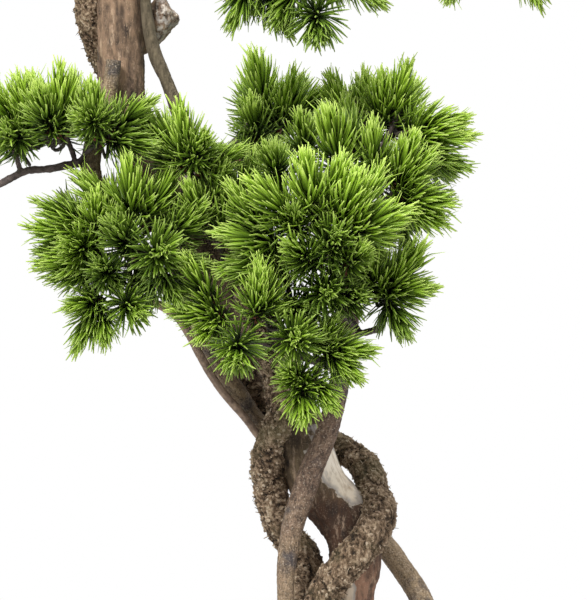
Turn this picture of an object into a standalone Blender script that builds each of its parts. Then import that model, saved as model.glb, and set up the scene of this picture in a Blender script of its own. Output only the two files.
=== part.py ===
"""A braided pine bonsai in a plain round pot.

Five woody stems stand in one pot of soil and wind round each other. Side branches leave the
stems and carry sprays of needles. Every stem, branch and spray is one closed solid. Heights of
the plant are measured up from the soil, so a taller or a deeper pot carries the plant with it.
"""
import math
from dataclasses import dataclass

import bmesh
import bpy
import numpy as np
from mathutils import Vector

# Pot
POT_HEIGHT = 0.150
POT_RIM_RADIUS = 0.136
POT_BASE_RADIUS = 0.108
POT_WALL = 0.006
POT_FLOOR = 0.008
RIM_BAND_HEIGHT = 0.016
RIM_BAND_DEPTH = 0.004
POT_EDGE_ROUND = 0.0015
POT_SIDES = 36

# Soil
SOIL_BELOW_RIM = 0.010
SOIL_CROWN = 0.003
SOIL_LEVEL_SHARE = 0.6
STEM_PLANTED = 0.058

# Wood
TRUNK_RADIUS = 0.0180
LIANA_RADIUS = 0.0138
SMOOTH_STEM_RADIUS = 0.0092
TWIN_RADIUS = 0.0036
BRANCH_RADIUS = 0.0034
TWIG_RADIUS = 0.0024
TWIG_TAPER = 0.85
TWIG_SAG = 0.08

# Needles: how far a full spray reaches from its heart
NEEDLE_REACH = 0.040

# Fits and fineness
CLEARANCE = 0.0003
STEM_GAP = 0.0015
ROUTE_STEP = 0.003
RINGS_APART = 5
SETTLE_ROUNDS = 160
EASE_WIDTH = 10
BRANCH_RINGS_APART = 0.018
TWIG_RINGS_APART = 0.025
BRANCH_SIDES = 1
TWIG_SIDES = 0
SPRAY_DETAIL = 2
CURVE_SAMPLES = 16
SHARP_EDGE = math.radians(40)
SAME_PLACE = 0.00001
SAME_CUT = 0.000002

SOIL_TOP = POT_HEIGHT - SOIL_BELOW_RIM


@dataclass(frozen=True)
class Stem:
    """One stem: its radius and its route of (x, y, height over soil, share of the radius)."""

    radius: float
    sides: int
    finish: str
    route: tuple


@dataclass(frozen=True)
class Branch:
    """One side branch: the stem and height it leaves from, and the points that it passes."""

    stem: str
    height: float
    points: tuple


@dataclass(frozen=True)
class Spray:
    """One spray: its branch, the branch point that its twig leaves, centre and share of reach."""

    branch: str
    joint: int
    centre: tuple
    reach: float


STEMS = {
    "trunk_main": Stem(TRUNK_RADIUS, 2, "peeled_bark", (
        (0.012, 0.0, -STEM_PLANTED, 1.24),
        (0.010, 0.0, 0.012, 1.22),
        (0.002, 0.0, 0.084, 1.14),
        (-0.001, 0.0, 0.140, 1.12),
        (0.004, 0.0, 0.172, 1.16),
        (0.000, 0.0, 0.196, 1.20),
        (-0.011, 0.0, 0.215, 1.26),
        (-0.0235, 0.0, 0.232, 1.28),
        (-0.035, 0.0, 0.256, 1.22),
        (-0.042, 0.0, 0.280, 1.10),
        (-0.050, 0.0, 0.312, 1.00),
        (-0.074, 0.0, 0.360, 1.00),
        (-0.108, 0.0, 0.410, 1.00),
        (-0.142, 0.0, 0.456, 1.00),
        (-0.168, 0.0, 0.500, 1.00),
        (-0.182, 0.0, 0.540, 1.00),
        (-0.184, 0.0, 0.620, 0.95),
        (-0.179, 0.0, 0.668, 0.90),
        (-0.166, 0.0, 0.724, 0.81),
        (-0.146, 0.0, 0.780, 0.72),
        (-0.132, 0.0, 0.836, 0.58),
        (-0.130, 0.0, 0.884, 0.44),
        (-0.136, 0.0, 0.935, 0.28),
    )),
    "liana_left": Stem(LIANA_RADIUS, 2, "corky_bark", (
        (-0.016, 0.008, -STEM_PLANTED, 1.02),
        (-0.016, 0.008, 0.012, 1.00),
        (-0.014, 0.008, 0.060, 0.97),
        (-0.015, 0.006, 0.124, 0.94),
        (-0.023, 0.004, 0.154, 0.93),
        (-0.037, 0.004, 0.175, 0.95),
        (-0.053, 0.000, 0.194, 0.97),
        (-0.063, -0.003, 0.216, 0.99),
        (-0.0655, -0.006, 0.238, 0.98),
        (-0.061, -0.014, 0.265, 0.84),
        (-0.055, -0.024, 0.286, 0.84),
        (-0.058, -0.029, 0.318, 0.84),
        (-0.072, -0.030, 0.352, 0.80),
        (-0.088, -0.028, 0.412, 0.74),
        (-0.107, -0.026, 0.468, 0.66),
        (-0.130, -0.024, 0.516, 0.48),
        (-0.144, -0.020, 0.552, 0.38),
        (-0.156, -0.014, 0.580, 0.36),
        (-0.163, -0.010, 0.616, 0.35),
        (-0.166, -0.012, 0.676, 0.32),
    )),
    "liana_right": Stem(LIANA_RADIUS, 2, "corky_bark", (
        (-0.032, -0.024, -STEM_PLANTED, 0.95),
        (-0.034, -0.024, 0.012, 0.94),
        (-0.037, -0.025, 0.060, 0.95),
        (-0.034, -0.028, 0.108, 0.97),
        (-0.020, -0.032, 0.147, 1.00),
        (-0.003, -0.034, 0.169, 1.04),
        (0.0125, -0.032, 0.187, 1.05),
        (0.0225, -0.022, 0.204, 1.00),
        (0.0245, 0.002, 0.224, 0.95),
        (0.0200, 0.020, 0.243, 0.88),
        (0.0080, 0.034, 0.2555, 0.84),
        (-0.010, 0.040, 0.264, 0.84),
        (-0.044, 0.038, 0.276, 0.86),
        (-0.073, 0.034, 0.298, 0.88),
        (-0.088, 0.032, 0.328, 0.88),
        (-0.116, 0.030, 0.372, 0.87),
        (-0.146, 0.030, 0.432, 0.85),
        (-0.172, 0.030, 0.492, 0.84),
        (-0.184, 0.028, 0.532, 0.83),
        (-0.195, 0.018, 0.566, 0.81),
        (-0.204, 0.010, 0.596, 0.79),
        (-0.208, 0.006, 0.624, 0.76),
        (-0.212, 0.003, 0.690, 0.62),
    )),
    "stem_left": Stem(SMOOTH_STEM_RADIUS, 1, "smooth_bark", (
        (0.074, 0.004, -STEM_PLANTED, 1.10),
        (0.076, 0.004, 0.012, 1.06),
        (0.074, 0.004, 0.060, 1.02),
        (0.068, 0.008, 0.100, 1.00),
        (0.0555, 0.012, 0.138, 1.00),
        (0.0410, 0.020, 0.162, 0.98),
        (0.0270, 0.028, 0.182, 0.96),
        (0.006, 0.036, 0.205, 0.94),
        (-0.020, 0.040, 0.229, 0.92),
        (-0.046, 0.036, 0.250, 0.90),
        (-0.068, 0.022, 0.276, 0.88),
        (-0.087, 0.012, 0.310, 0.88),
        (-0.108, 0.004, 0.344, 0.88),
        (-0.130, -0.006, 0.374, 0.88),
        (-0.160, -0.016, 0.402, 0.88),
        (-0.190, -0.022, 0.440, 0.87),
        (-0.206, -0.026, 0.480, 0.84),
        (-0.203, -0.027, 0.508, 0.78),
        (-0.193, -0.028, 0.540, 0.68),
        (-0.188, -0.028, 0.571, 0.62),
    )),
    "stem_front": Stem(SMOOTH_STEM_RADIUS, 1, "smooth_bark", (
        (-0.075, -0.022, -STEM_PLANTED, 0.88),
        (-0.071, -0.024, -0.004, 0.82),
        (-0.061, -0.030, 0.044, 0.72),
        (-0.054, -0.040, 0.092, 0.70),
        (-0.0512, -0.046, 0.140, 0.72),
        (-0.0515, -0.046, 0.160, 0.76),
        (-0.0492, -0.044, 0.182, 0.88),
        (-0.0450, -0.040, 0.204, 0.98),
        (-0.0374, -0.038, 0.2265, 1.01),
        (-0.0292, -0.036, 0.249, 1.00),
        (-0.0178, -0.036, 0.277, 0.93),
        (-0.010, -0.032, 0.308, 0.90),
        (-0.003, -0.028, 0.348, 0.88),
        (0.001, -0.025, 0.388, 0.84),
        (0.002, -0.024, 0.432, 0.74),
    )),
    "stem_twin": Stem(TWIN_RADIUS, 1, "smooth_bark", (
        (-0.066, -0.004, 0.262, 0.80),
        (-0.0785, 0.000, 0.286, 0.95),
        (-0.094, -0.002, 0.308, 1.00),
        (-0.115, -0.010, 0.338, 1.00),
        (-0.137, -0.020, 0.364, 1.00),
        (-0.157, -0.032, 0.378, 1.00),
        (-0.172, -0.046, 0.384, 0.90),
    )),
}
FIXED_STEM = "trunk_main"
ROOTED_STEMS = ("trunk_main", "liana_left", "liana_right", "stem_left", "stem_front")

BRANCHES = {
    "branch_left": Branch("stem_left", 0.490, (
        (-0.218, -0.030, 0.4884), (-0.237, -0.031, 0.4848), (-0.262, -0.032, 0.4836),
        (-0.280, -0.032, 0.4740), (-0.302, -0.031, 0.4660))),
    "branch_low_left": Branch("stem_left", 0.436, (
        (-0.200, -0.044, 0.431), (-0.196, -0.052, 0.408), (-0.204, -0.050, 0.384))),
    "branch_mid_left": Branch("trunk_main", 0.452, (
        (-0.137, -0.036, 0.462), (-0.124, -0.060, 0.464))),
    "branch_back": Branch("trunk_main", 0.470, (
        (-0.130, 0.040, 0.478), (-0.104, 0.052, 0.496))),
    "branch_right": Branch("stem_front", 0.418, (
        (0.007, -0.030, 0.450), (0.012, -0.031, 0.476), (0.024, -0.028, 0.500))),
    "branch_front": Branch("stem_front", 0.396, (
        (-0.006, -0.056, 0.410), (-0.018, -0.080, 0.428))),
    "branch_low_right": Branch("stem_front", 0.366, (
        (0.003, -0.036, 0.358), (0.012, -0.043, 0.350), (0.018, -0.046, 0.352),
        (0.024, -0.048, 0.360), (0.030, -0.050, 0.376))),
    "branch_low_front": Branch("stem_front", 0.322, (
        (-0.024, -0.056, 0.330), (-0.052, -0.068, 0.340), (-0.084, -0.072, 0.350))),
    "branch_upper_right": Branch("trunk_main", 0.700, (
        (-0.120, -0.020, 0.694), (-0.062, -0.030, 0.690), (0.000, -0.030, 0.684),
        (0.062, -0.030, 0.680), (0.112, -0.030, 0.678))),
    "branch_upper_left": Branch("liana_right", 0.668, (
        (-0.238, -0.006, 0.682), (-0.256, -0.012, 0.694))),
    "branch_crown": Branch("trunk_main", 0.790, (
        (-0.120, -0.012, 0.806), (-0.104, -0.016, 0.818))),
}

SPRAYS = {
    "needles_left_tip": Spray("branch_left", 4, (-0.330, -0.030, 0.494), 0.85),
    "needles_left_far": Spray("branch_left", 2, (-0.274, -0.022, 0.530), 0.95),
    "needles_left_near": Spray("branch_left", 0, (-0.232, -0.044, 0.538), 0.90),
    "needles_left_inner": Spray("branch_left", 0, (-0.190, -0.070, 0.524), 0.80),
    "needles_low_left_top": Spray("branch_low_left", 0, (-0.170, -0.066, 0.462), 0.85),
    "needles_low_left_out": Spray("branch_low_left", 1, (-0.226, -0.052, 0.430), 1.02),
    "needles_low_left_star": Spray("branch_low_left", 1, (-0.154, -0.080, 0.415), 0.78),
    "needles_drop_left": Spray("branch_low_left", 2, (-0.210, -0.048, 0.364), 0.70),
    "needles_drop_right": Spray("stem_twin", 0, (-0.180, -0.056, 0.378), 0.70),
    "needles_mid_left_top": Spray("branch_mid_left", 1, (-0.128, -0.072, 0.508), 0.85),
    "needles_mid_left": Spray("branch_mid_left", 1, (-0.102, -0.072, 0.458), 0.92),
    "needles_back_top": Spray("branch_back", 1, (-0.068, 0.052, 0.546), 1.00),
    "needles_back_low": Spray("branch_back", 0, (-0.112, 0.078, 0.462), 0.95),
    "needles_right_top_left": Spray("branch_right", 2, (0.002, 0.014, 0.548), 0.80),
    "needles_right_top": Spray("branch_right", 2, (0.044, 0.006, 0.546), 0.80),
    "needles_right_out": Spray("branch_right", 1, (0.078, -0.012, 0.512), 0.90),
    "needles_right_mid": Spray("branch_right", 1, (0.010, -0.044, 0.502), 0.85),
    "needles_right_low_out": Spray("branch_right", 0, (0.062, -0.046, 0.455), 0.80),
    "needles_front_left": Spray("branch_front", 0, (-0.066, -0.088, 0.424), 0.85),
    "needles_front_top": Spray("branch_front", 1, (-0.032, -0.092, 0.470), 0.90),
    "needles_front_right": Spray("branch_front", 1, (0.010, -0.092, 0.446), 0.83),
    "needles_front_star": Spray("branch_front", 1, (-0.018, -0.106, 0.412), 0.78),
    "needles_right_low": Spray("branch_low_right", 4, (0.040, -0.052, 0.392), 1.00),
    "needles_centre_low": Spray("branch_low_right", 0, (-0.012, -0.072, 0.382), 0.72),
    "needles_low_out": Spray("branch_low_front", 2, (-0.112, -0.076, 0.370), 0.85),
    "needles_low_star": Spray("branch_low_front", 2, (-0.088, -0.096, 0.342), 0.75),
    "needles_low_mid": Spray("branch_low_front", 1, (-0.046, -0.096, 0.350), 0.75),
    "needles_low_right": Spray("branch_low_front", 0, (-0.004, -0.076, 0.334), 0.78),
    "needles_front_drop": Spray("branch_low_front", 0, (-0.036, -0.086, 0.302), 0.80),
    "needles_hang_left": Spray("branch_upper_right", 1, (-0.084, -0.040, 0.620), 0.90),
    "needles_hang_mid": Spray("branch_upper_right", 2, (-0.018, -0.044, 0.620), 1.05),
    "needles_hang_far": Spray("branch_upper_right", 4, (0.122, -0.040, 0.640), 0.85),
    "needles_upper_mid": Spray("branch_upper_right", 1, (-0.050, -0.052, 0.734), 1.05),
    "needles_upper_right": Spray("branch_upper_right", 3, (0.030, 0.006, 0.726), 1.05),
    "needles_upper_tip": Spray("branch_upper_right", 4, (0.108, -0.040, 0.712), 1.05),
    "needles_upper_left": Spray("branch_upper_left", 1, (-0.270, 0.010, 0.718), 1.10),
    "needles_crown_left": Spray("branch_upper_left", 0, (-0.204, -0.010, 0.790), 1.10),
    "needles_crown_right": Spray("branch_crown", 1, (-0.082, -0.020, 0.836), 1.05),
    "needles_crown_front": Spray("branch_crown", 0, (-0.140, -0.062, 0.856), 1.05),
    "needles_crown_back": Spray("branch_crown", 1, (-0.148, 0.058, 0.850), 1.10),
    "needles_crown_top": Spray("trunk_main", 0, (-0.136, 0.000, 0.970), 1.15),
}

FINISHES = {
    "pot_glaze": ((0.62, 0.60, 0.55), 0.45),
    "soil": ((0.07, 0.045, 0.03), 0.95),
    "peeled_bark": ((0.42, 0.30, 0.23), 0.80),
    "corky_bark": ((0.20, 0.15, 0.10), 0.95),
    "smooth_bark": ((0.27, 0.18, 0.14), 0.75),
    "twig_bark": ((0.14, 0.10, 0.09), 0.75),
    "needles": ((0.16, 0.36, 0.05), 0.60),
}


def clear_scene():
    """Removes every object that the file opened with."""
    for thing in list(bpy.data.objects):
        bpy.data.objects.remove(thing, do_unlink=True)


def make_finish(name):
    """Returns the Principled material with this name."""
    colour, roughness = FINISHES[name]
    finish = bpy.data.materials.get(name) or bpy.data.materials.new(name)
    finish.use_nodes = True
    shader = finish.node_tree.nodes["Principled BSDF"]
    shader.inputs["Base Color"].default_value = (*colour, 1.0)
    shader.inputs["Roughness"].default_value = roughness
    shader.inputs["Metallic"].default_value = 0.0
    return finish


def add_object(name, mesh, finish=None):
    """Links a mesh as a named object, or as a hidden cutter when it has no finish."""
    solid = bpy.data.objects.new(name, mesh)
    bpy.context.collection.objects.link(solid)
    if finish:
        mesh.materials.clear()
        mesh.materials.append(make_finish(finish))
    else:
        solid.hide_render = True
        solid.display_type = "WIRE"
    return solid


def mesh_from(bm, name):
    """Turns a bmesh into a smooth-shaded mesh with its faces pointing out."""
    bmesh.ops.recalc_face_normals(bm, faces=bm.faces[:])
    mesh = bpy.data.meshes.new(name)
    bm.to_mesh(mesh)
    bm.free()
    mesh.shade_smooth()
    mesh.set_sharp_from_angle(angle=SHARP_EDGE)
    return mesh


def largest_body(mesh):
    """Keeps only the biggest connected body of a mesh."""
    bm = bmesh.new()
    bm.from_mesh(mesh)
    bmesh.ops.remove_doubles(bm, verts=bm.verts[:], dist=SAME_CUT)
    unseen = set(bm.verts)
    bodies = []
    while unseen:
        body = set()
        edge_of_body = [unseen.pop()]
        while edge_of_body:
            vertex = edge_of_body.pop()
            body.add(vertex)
            for link in vertex.link_edges:
                other = link.other_vert(vertex)
                if other in unseen:
                    unseen.remove(other)
                    edge_of_body.append(other)
        bodies.append(body)
    bodies.sort(key=len, reverse=True)
    scraps = [vertex for body in bodies[1:] for vertex in body]
    bmesh.ops.delete(bm, geom=scraps, context="VERTS")
    bm.to_mesh(mesh)
    bm.free()


def combine(solid, others, operation):
    """Applies one exact Boolean for each of the other solids."""
    for other in others:
        step = solid.modifiers.new(other.name, "BOOLEAN")
        step.operation = operation
        step.solver = "EXACT"
        step.object = other
    graph = bpy.context.evaluated_depsgraph_get()
    result = bpy.data.meshes.new_from_object(solid.evaluated_get(graph))
    solid.modifiers.clear()
    largest_body(result)
    result.shade_smooth()
    result.set_sharp_from_angle(angle=SHARP_EDGE)
    solid.data = result


def box_of(solid):
    """Returns the lowest and highest corners of an unturned object's mesh."""
    corners = np.array([vertex.co[:] for vertex in solid.data.vertices])
    return corners.min(axis=0), corners.max(axis=0)


def near(solid, others):
    """Returns those of the others whose boxes reach the solid's box."""
    low, high = box_of(solid)
    found = []
    for other in others:
        other_low, other_high = box_of(other)
        if np.all(other_low < high + CLEARANCE) and np.all(other_high > low - CLEARANCE):
            found.append(other)
    return found


def spun(profile, name, finish):
    """Turns a profile of (radius, height) about the upright axis into one closed solid."""
    bm = bmesh.new()
    ring = [bm.verts.new((radius, 0.0, height)) for radius, height in profile]
    edges = [bm.edges.new(pair) for pair in zip(ring, ring[1:])]
    bmesh.ops.spin(
        bm, geom=ring + edges, cent=(0.0, 0.0, 0.0), axis=(0.0, 0.0, 1.0),
        angle=math.tau, steps=POT_SIDES, use_merge=True)
    bmesh.ops.remove_doubles(bm, verts=bm.verts[:], dist=SAME_PLACE)
    return add_object(name, mesh_from(bm, name), finish)


def pot_inner_radius(height):
    """Returns the pot's inner radius at a height over its underside."""
    low = POT_BASE_RADIUS - POT_WALL
    high = POT_RIM_RADIUS - RIM_BAND_DEPTH - POT_WALL
    share = (height - POT_FLOOR) / (POT_HEIGHT - POT_FLOOR)
    return low + (high - low) * share


def make_pot():
    """Makes the tapered pot with its rim band and a flat underside."""
    body_top = POT_RIM_RADIUS - RIM_BAND_DEPTH
    edge = POT_EDGE_ROUND
    profile = [
        (0.0, 0.0),
        (POT_BASE_RADIUS - edge, 0.0),
        (POT_BASE_RADIUS, edge),
        (body_top, POT_HEIGHT - RIM_BAND_HEIGHT),
        (POT_RIM_RADIUS - edge, POT_HEIGHT - RIM_BAND_HEIGHT),
        (POT_RIM_RADIUS, POT_HEIGHT - RIM_BAND_HEIGHT + edge),
        (POT_RIM_RADIUS, POT_HEIGHT - edge),
        (POT_RIM_RADIUS - edge, POT_HEIGHT),
        (pot_inner_radius(POT_HEIGHT) + edge, POT_HEIGHT),
        (pot_inner_radius(POT_HEIGHT - edge), POT_HEIGHT - edge),
        (pot_inner_radius(POT_FLOOR), POT_FLOOR),
        (0.0, POT_FLOOR),
    ]
    return spun(profile, "pot", "pot_glaze")


def make_soil(stem_rooms):
    """Makes the soil, a plug that fits the pot and has a socket for each rooted stem."""
    bottom = POT_FLOOR + CLEARANCE
    gap = 2.0 * CLEARANCE
    edge = pot_inner_radius(SOIL_TOP) - gap
    profile = [
        (0.0, bottom),
        (pot_inner_radius(bottom) - gap, bottom),
        (edge, SOIL_TOP),
        (edge * SOIL_LEVEL_SHARE, SOIL_TOP + SOIL_CROWN),
        (0.0, SOIL_TOP + SOIL_CROWN),
    ]
    soil = spun(profile, "soil", "soil")
    combine(soil, [stem_rooms[name] for name in ROOTED_STEMS], "DIFFERENCE")
    return soil


def smooth_route(points, step):
    """Samples a smooth curve through the points.

    Args:
        points: rows of x, y, z and radius.
        step: the distance between samples.

    Returns:
        An array of the samples, evenly spaced, with the same four columns.
    """
    rows = np.array(points, dtype=float)
    padded = np.vstack([2 * rows[0] - rows[1], rows, 2 * rows[-1] - rows[-2]])
    dense = []
    for first, second, third, fourth in zip(padded, padded[1:], padded[2:], padded[3:]):
        for share in np.linspace(0.0, 1.0, CURVE_SAMPLES, endpoint=False):
            dense.append(0.5 * (
                2 * second + (third - first) * share
                + (2 * first - 5 * second + 4 * third - fourth) * share ** 2
                + (3 * second - first - 3 * third + fourth) * share ** 3))
    dense.append(rows[-1])
    dense = np.array(dense)
    along = np.concatenate([[0.0], np.cumsum(np.linalg.norm(np.diff(dense[:, :3], axis=0), axis=1))])
    count = max(2, int(round(along[-1] / step)) + 1)
    places = np.linspace(0.0, along[-1], count)
    return np.column_stack([np.interp(places, along, dense[:, column]) for column in range(4)])


def tube(name, route, sides, finish=None, room=0.0):
    """Makes a closed tube along a route.

    Args:
        name: the object's name.
        route: rows of x, y, z and radius.
        sides: the curve's bevel resolution.
        finish: the finish, or None for a hidden cutter.
        room: how much wider and longer than the route the tube is, all round.
    """
    curve = bpy.data.curves.new(name, "CURVE")
    curve.dimensions = "3D"
    curve.bevel_depth = 1.0
    curve.bevel_resolution = sides
    curve.use_fill_caps = True
    spline = curve.splines.new("POLY")
    spline.points.add(len(route) - 1)
    rows = np.array(route, dtype=float)
    for end, inner in ((0, 1), (-1, -2)):
        outward = rows[end, :3] - rows[inner, :3]
        rows[end, :3] += outward / np.linalg.norm(outward) * room
    for point, (x, y, z, radius) in zip(spline.points, rows):
        point.co = (x, y, z, 1.0)
        point.radius = radius + room
    guide = bpy.data.objects.new(name + "_guide", curve)
    bpy.context.collection.objects.link(guide)
    graph = bpy.context.evaluated_depsgraph_get()
    tube_mesh = bpy.data.meshes.new_from_object(guide.evaluated_get(graph))
    bpy.data.objects.remove(guide, do_unlink=True)
    bm = bmesh.new()
    bm.from_mesh(tube_mesh)
    bmesh.ops.remove_doubles(bm, verts=bm.verts[:], dist=SAME_PLACE)
    return add_object(name, mesh_from(bm, name), finish)


def over_soil(point):
    """Returns a plant point's place in the world."""
    return np.array([point[0], point[1], SOIL_TOP + point[2]])


def settle(routes):
    """Eases crossing stems apart until they lie beside each other; the fixed stem stays."""
    names = list(routes)
    for _ in range(SETTLE_ROUNDS):
        worst = 0.0
        for index, name in enumerate(names):
            for other in names[index + 1:]:
                worst = max(worst, part_pair(routes, name, other))
        if worst < CLEARANCE:
            break


def part_pair(routes, name, other):
    """Moves two stems apart where they are closer than their radii and the gap.

    Returns:
        The greatest distance that was lacking.
    """
    one, two = routes[name], routes[other]
    apart = one[:, None, :3] - two[None, :, :3]
    distance = np.linalg.norm(apart, axis=2)
    lack = one[:, None, 3] + two[None, :, 3] + STEM_GAP - distance
    if lack.max() <= 0.0:
        return 0.0
    share = 1.0 if FIXED_STEM in (name, other) else 0.5
    if name != FIXED_STEM:
        rows = np.arange(len(one))
        picked = lack.argmax(axis=1)
        ease(one, lack[rows, picked] * share, apart[rows, picked])
    if other != FIXED_STEM:
        rows = np.arange(len(two))
        picked = lack.argmax(axis=0)
        ease(two, lack[picked, rows] * share, -apart[picked, rows])
    return float(lack.max())


def ease(route, lack, way):
    """Moves a route's samples by what they lack, and their neighbours with them."""
    unit = way / np.maximum(np.linalg.norm(way, axis=1), CLEARANCE)[:, None]
    push = unit * np.maximum(lack, 0.0)[:, None]
    spread = push.copy()
    for _ in range(EASE_WIDTH):
        spread[1:-1] = 0.25 * spread[:-2] + 0.5 * spread[1:-1] + 0.25 * spread[2:]
    stronger = np.linalg.norm(push, axis=1) > np.linalg.norm(spread, axis=1)
    route[:, :3] += np.where(stronger[:, None], push, spread)


def stem_routes():
    """Returns each stem's settled route in the world."""
    routes = {}
    for name, stem in STEMS.items():
        points = [(*over_soil(point), point[3] * stem.radius) for point in stem.route]
        routes[name] = smooth_route(points, ROUTE_STEP)
    settle(routes)
    return routes


def ring_places(route):
    """Thins a fine route to the rings that its tube is built on."""
    last = len(route) - 1
    count = max(2, int(round(last / RINGS_APART)) + 1)
    picked = np.unique(np.linspace(0, last, count).round().astype(int))
    return route[picked]


def branch_tubes(name, branch, routes):
    """Returns the routes of a branch and its twigs, from the stem's centre to the needles."""
    stem_route = routes[branch.stem]
    root = stem_route[np.abs(stem_route[:, 2] - SOIL_TOP - branch.height).argmin(), :3]
    points = [root] + [over_soil(point) for point in branch.points]
    shares = np.linspace(1.0, TWIG_TAPER, len(points))
    rows = [(*point, BRANCH_RADIUS * share) for point, share in zip(points, shares)]
    tubes = [smooth_route(rows, BRANCH_RINGS_APART)]
    for spray in SPRAYS.values():
        if spray.branch != name:
            continue
        start = points[spray.joint + 1]
        heart = over_soil(spray.centre)
        middle = start + (heart - start) * 0.5
        middle[2] -= TWIG_SAG * np.linalg.norm(heart - start)
        twig = [
            (*start, TWIG_RADIUS),
            (*middle, TWIG_RADIUS),
            (*heart, TWIG_RADIUS * TWIG_TAPER),
        ]
        tubes.append(smooth_route(twig, TWIG_RINGS_APART))
    return tubes


def make_branch(name, tubes, rooms):
    """Makes one branch with its twigs and cuts it to sit on the stems that it meets."""
    branch = tube(name, tubes[0], BRANCH_SIDES, "twig_bark")
    twigs = [tube(f"{name}_twig_{index}", route, TWIG_SIDES) for index, route in enumerate(tubes[1:])]
    combine(branch, twigs, "UNION")
    combine(branch, near(branch, rooms), "DIFFERENCE")
    branch.data.materials.clear()
    branch.data.materials.append(make_finish("twig_bark"))
    for twig in twigs:
        bpy.data.objects.remove(twig, do_unlink=True)
    return branch


def make_spray(name, rooms):
    """Makes one spray of needles, parted from its neighbours and hollowed where wood enters."""
    spray = SPRAYS[name]
    centre = Vector(over_soil(spray.centre))
    reach = spray.reach * NEEDLE_REACH
    bm = bmesh.new()
    bmesh.ops.create_icosphere(bm, subdivisions=SPRAY_DETAIL, radius=reach)
    bmesh.ops.translate(bm, verts=bm.verts[:], vec=centre)
    for other_name, other in SPRAYS.items():
        other_centre = Vector(over_soil(other.centre))
        other_reach = other.reach * NEEDLE_REACH
        apart = other_centre - centre
        if other_name == name or apart.length > reach + other_reach:
            continue
        border = apart.length * reach / (reach + other_reach) - 0.5 * CLEARANCE
        bmesh.ops.bisect_plane(
            bm, geom=bm.verts[:] + bm.edges[:] + bm.faces[:], dist=SAME_CUT,
            plane_co=centre + apart.normalized() * border, plane_no=apart, clear_outer=True)
        open_edges = [edge for edge in bm.edges if edge.is_boundary]
        if open_edges:
            bmesh.ops.holes_fill(bm, edges=open_edges)
    solid = add_object(name, mesh_from(bm, name), "needles")
    combine(solid, near(solid, rooms), "DIFFERENCE")
    solid.data.materials.clear()
    solid.data.materials.append(make_finish("needles"))
    return solid


def main():
    """Builds the pot, the soil, the stems, the branches and the sprays."""
    clear_scene()
    routes = stem_routes()
    stem_rooms = {}
    for name, stem in STEMS.items():
        rings = ring_places(routes[name])
        tube(name, rings, stem.sides, stem.finish)
        stem_rooms[name] = tube(name + "_room", rings, stem.sides, room=CLEARANCE)
    make_pot()
    make_soil(stem_rooms)
    rooms = list(stem_rooms.values())
    for name, branch in BRANCHES.items():
        tubes = branch_tubes(name, branch, routes)
        make_branch(name, tubes, rooms)
        for index, route in enumerate(tubes):
            sides = TWIG_SIDES if index else BRANCH_SIDES
            rooms.append(tube(f"{name}_room_{index}", route, sides, room=2 * CLEARANCE))
    for name in SPRAYS:
        make_spray(name, rooms)
    for room in rooms:
        bpy.data.objects.remove(room, do_unlink=True)


main()
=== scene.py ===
"""A braided pine bonsai in a round pot: the surfaces that show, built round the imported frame."""

import logging
import math
import random
from collections.abc import Iterator
from contextlib import contextmanager
from dataclasses import dataclass, field
from enum import Enum

import bmesh
import bpy
import numpy as np
from mathutils import Matrix, Vector, kdtree, noise


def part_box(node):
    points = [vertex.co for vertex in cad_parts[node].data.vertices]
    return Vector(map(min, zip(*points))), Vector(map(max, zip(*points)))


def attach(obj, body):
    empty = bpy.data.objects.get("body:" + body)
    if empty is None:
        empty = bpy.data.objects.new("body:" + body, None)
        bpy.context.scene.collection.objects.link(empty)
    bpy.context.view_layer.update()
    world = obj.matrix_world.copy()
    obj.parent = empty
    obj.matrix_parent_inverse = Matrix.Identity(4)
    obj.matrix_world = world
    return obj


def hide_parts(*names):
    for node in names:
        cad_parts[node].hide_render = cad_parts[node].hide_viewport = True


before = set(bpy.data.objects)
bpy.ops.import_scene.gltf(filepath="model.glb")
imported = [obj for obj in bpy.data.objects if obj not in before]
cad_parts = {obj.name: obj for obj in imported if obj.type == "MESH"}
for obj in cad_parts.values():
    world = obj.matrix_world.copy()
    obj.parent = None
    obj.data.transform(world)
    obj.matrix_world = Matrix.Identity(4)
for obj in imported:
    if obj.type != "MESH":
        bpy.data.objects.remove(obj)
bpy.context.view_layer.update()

LOG = logging.getLogger("bonsai")
MM = 0.001
BODY = "root"
NEEDLE_MAP = "OFBake"
BARK_MAP = "along"
WELD = 0.000005  # points that lie nearer than this are one point
FULL_TURN = 2 * math.pi
GOLDEN_TURN = 2.399963  # the turn that never sets two shoots in line
COMMON_GIRTH = 0.016  # a stem's usual radius
TUFT_HEIGHT = 0.045  # a tuft's usual height

Colour = tuple[float, float, float]
Place = tuple[float, float, float]


class Bark(Enum):
    """The barks that the stems and twigs wear, by name."""

    PEELED = "peeled_bark"
    CORKY = "corky_bark"
    SMOOTH = "smooth_bark"
    TWIG = "twig_bark"


# ---------------------------------------------------------------- materials


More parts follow.
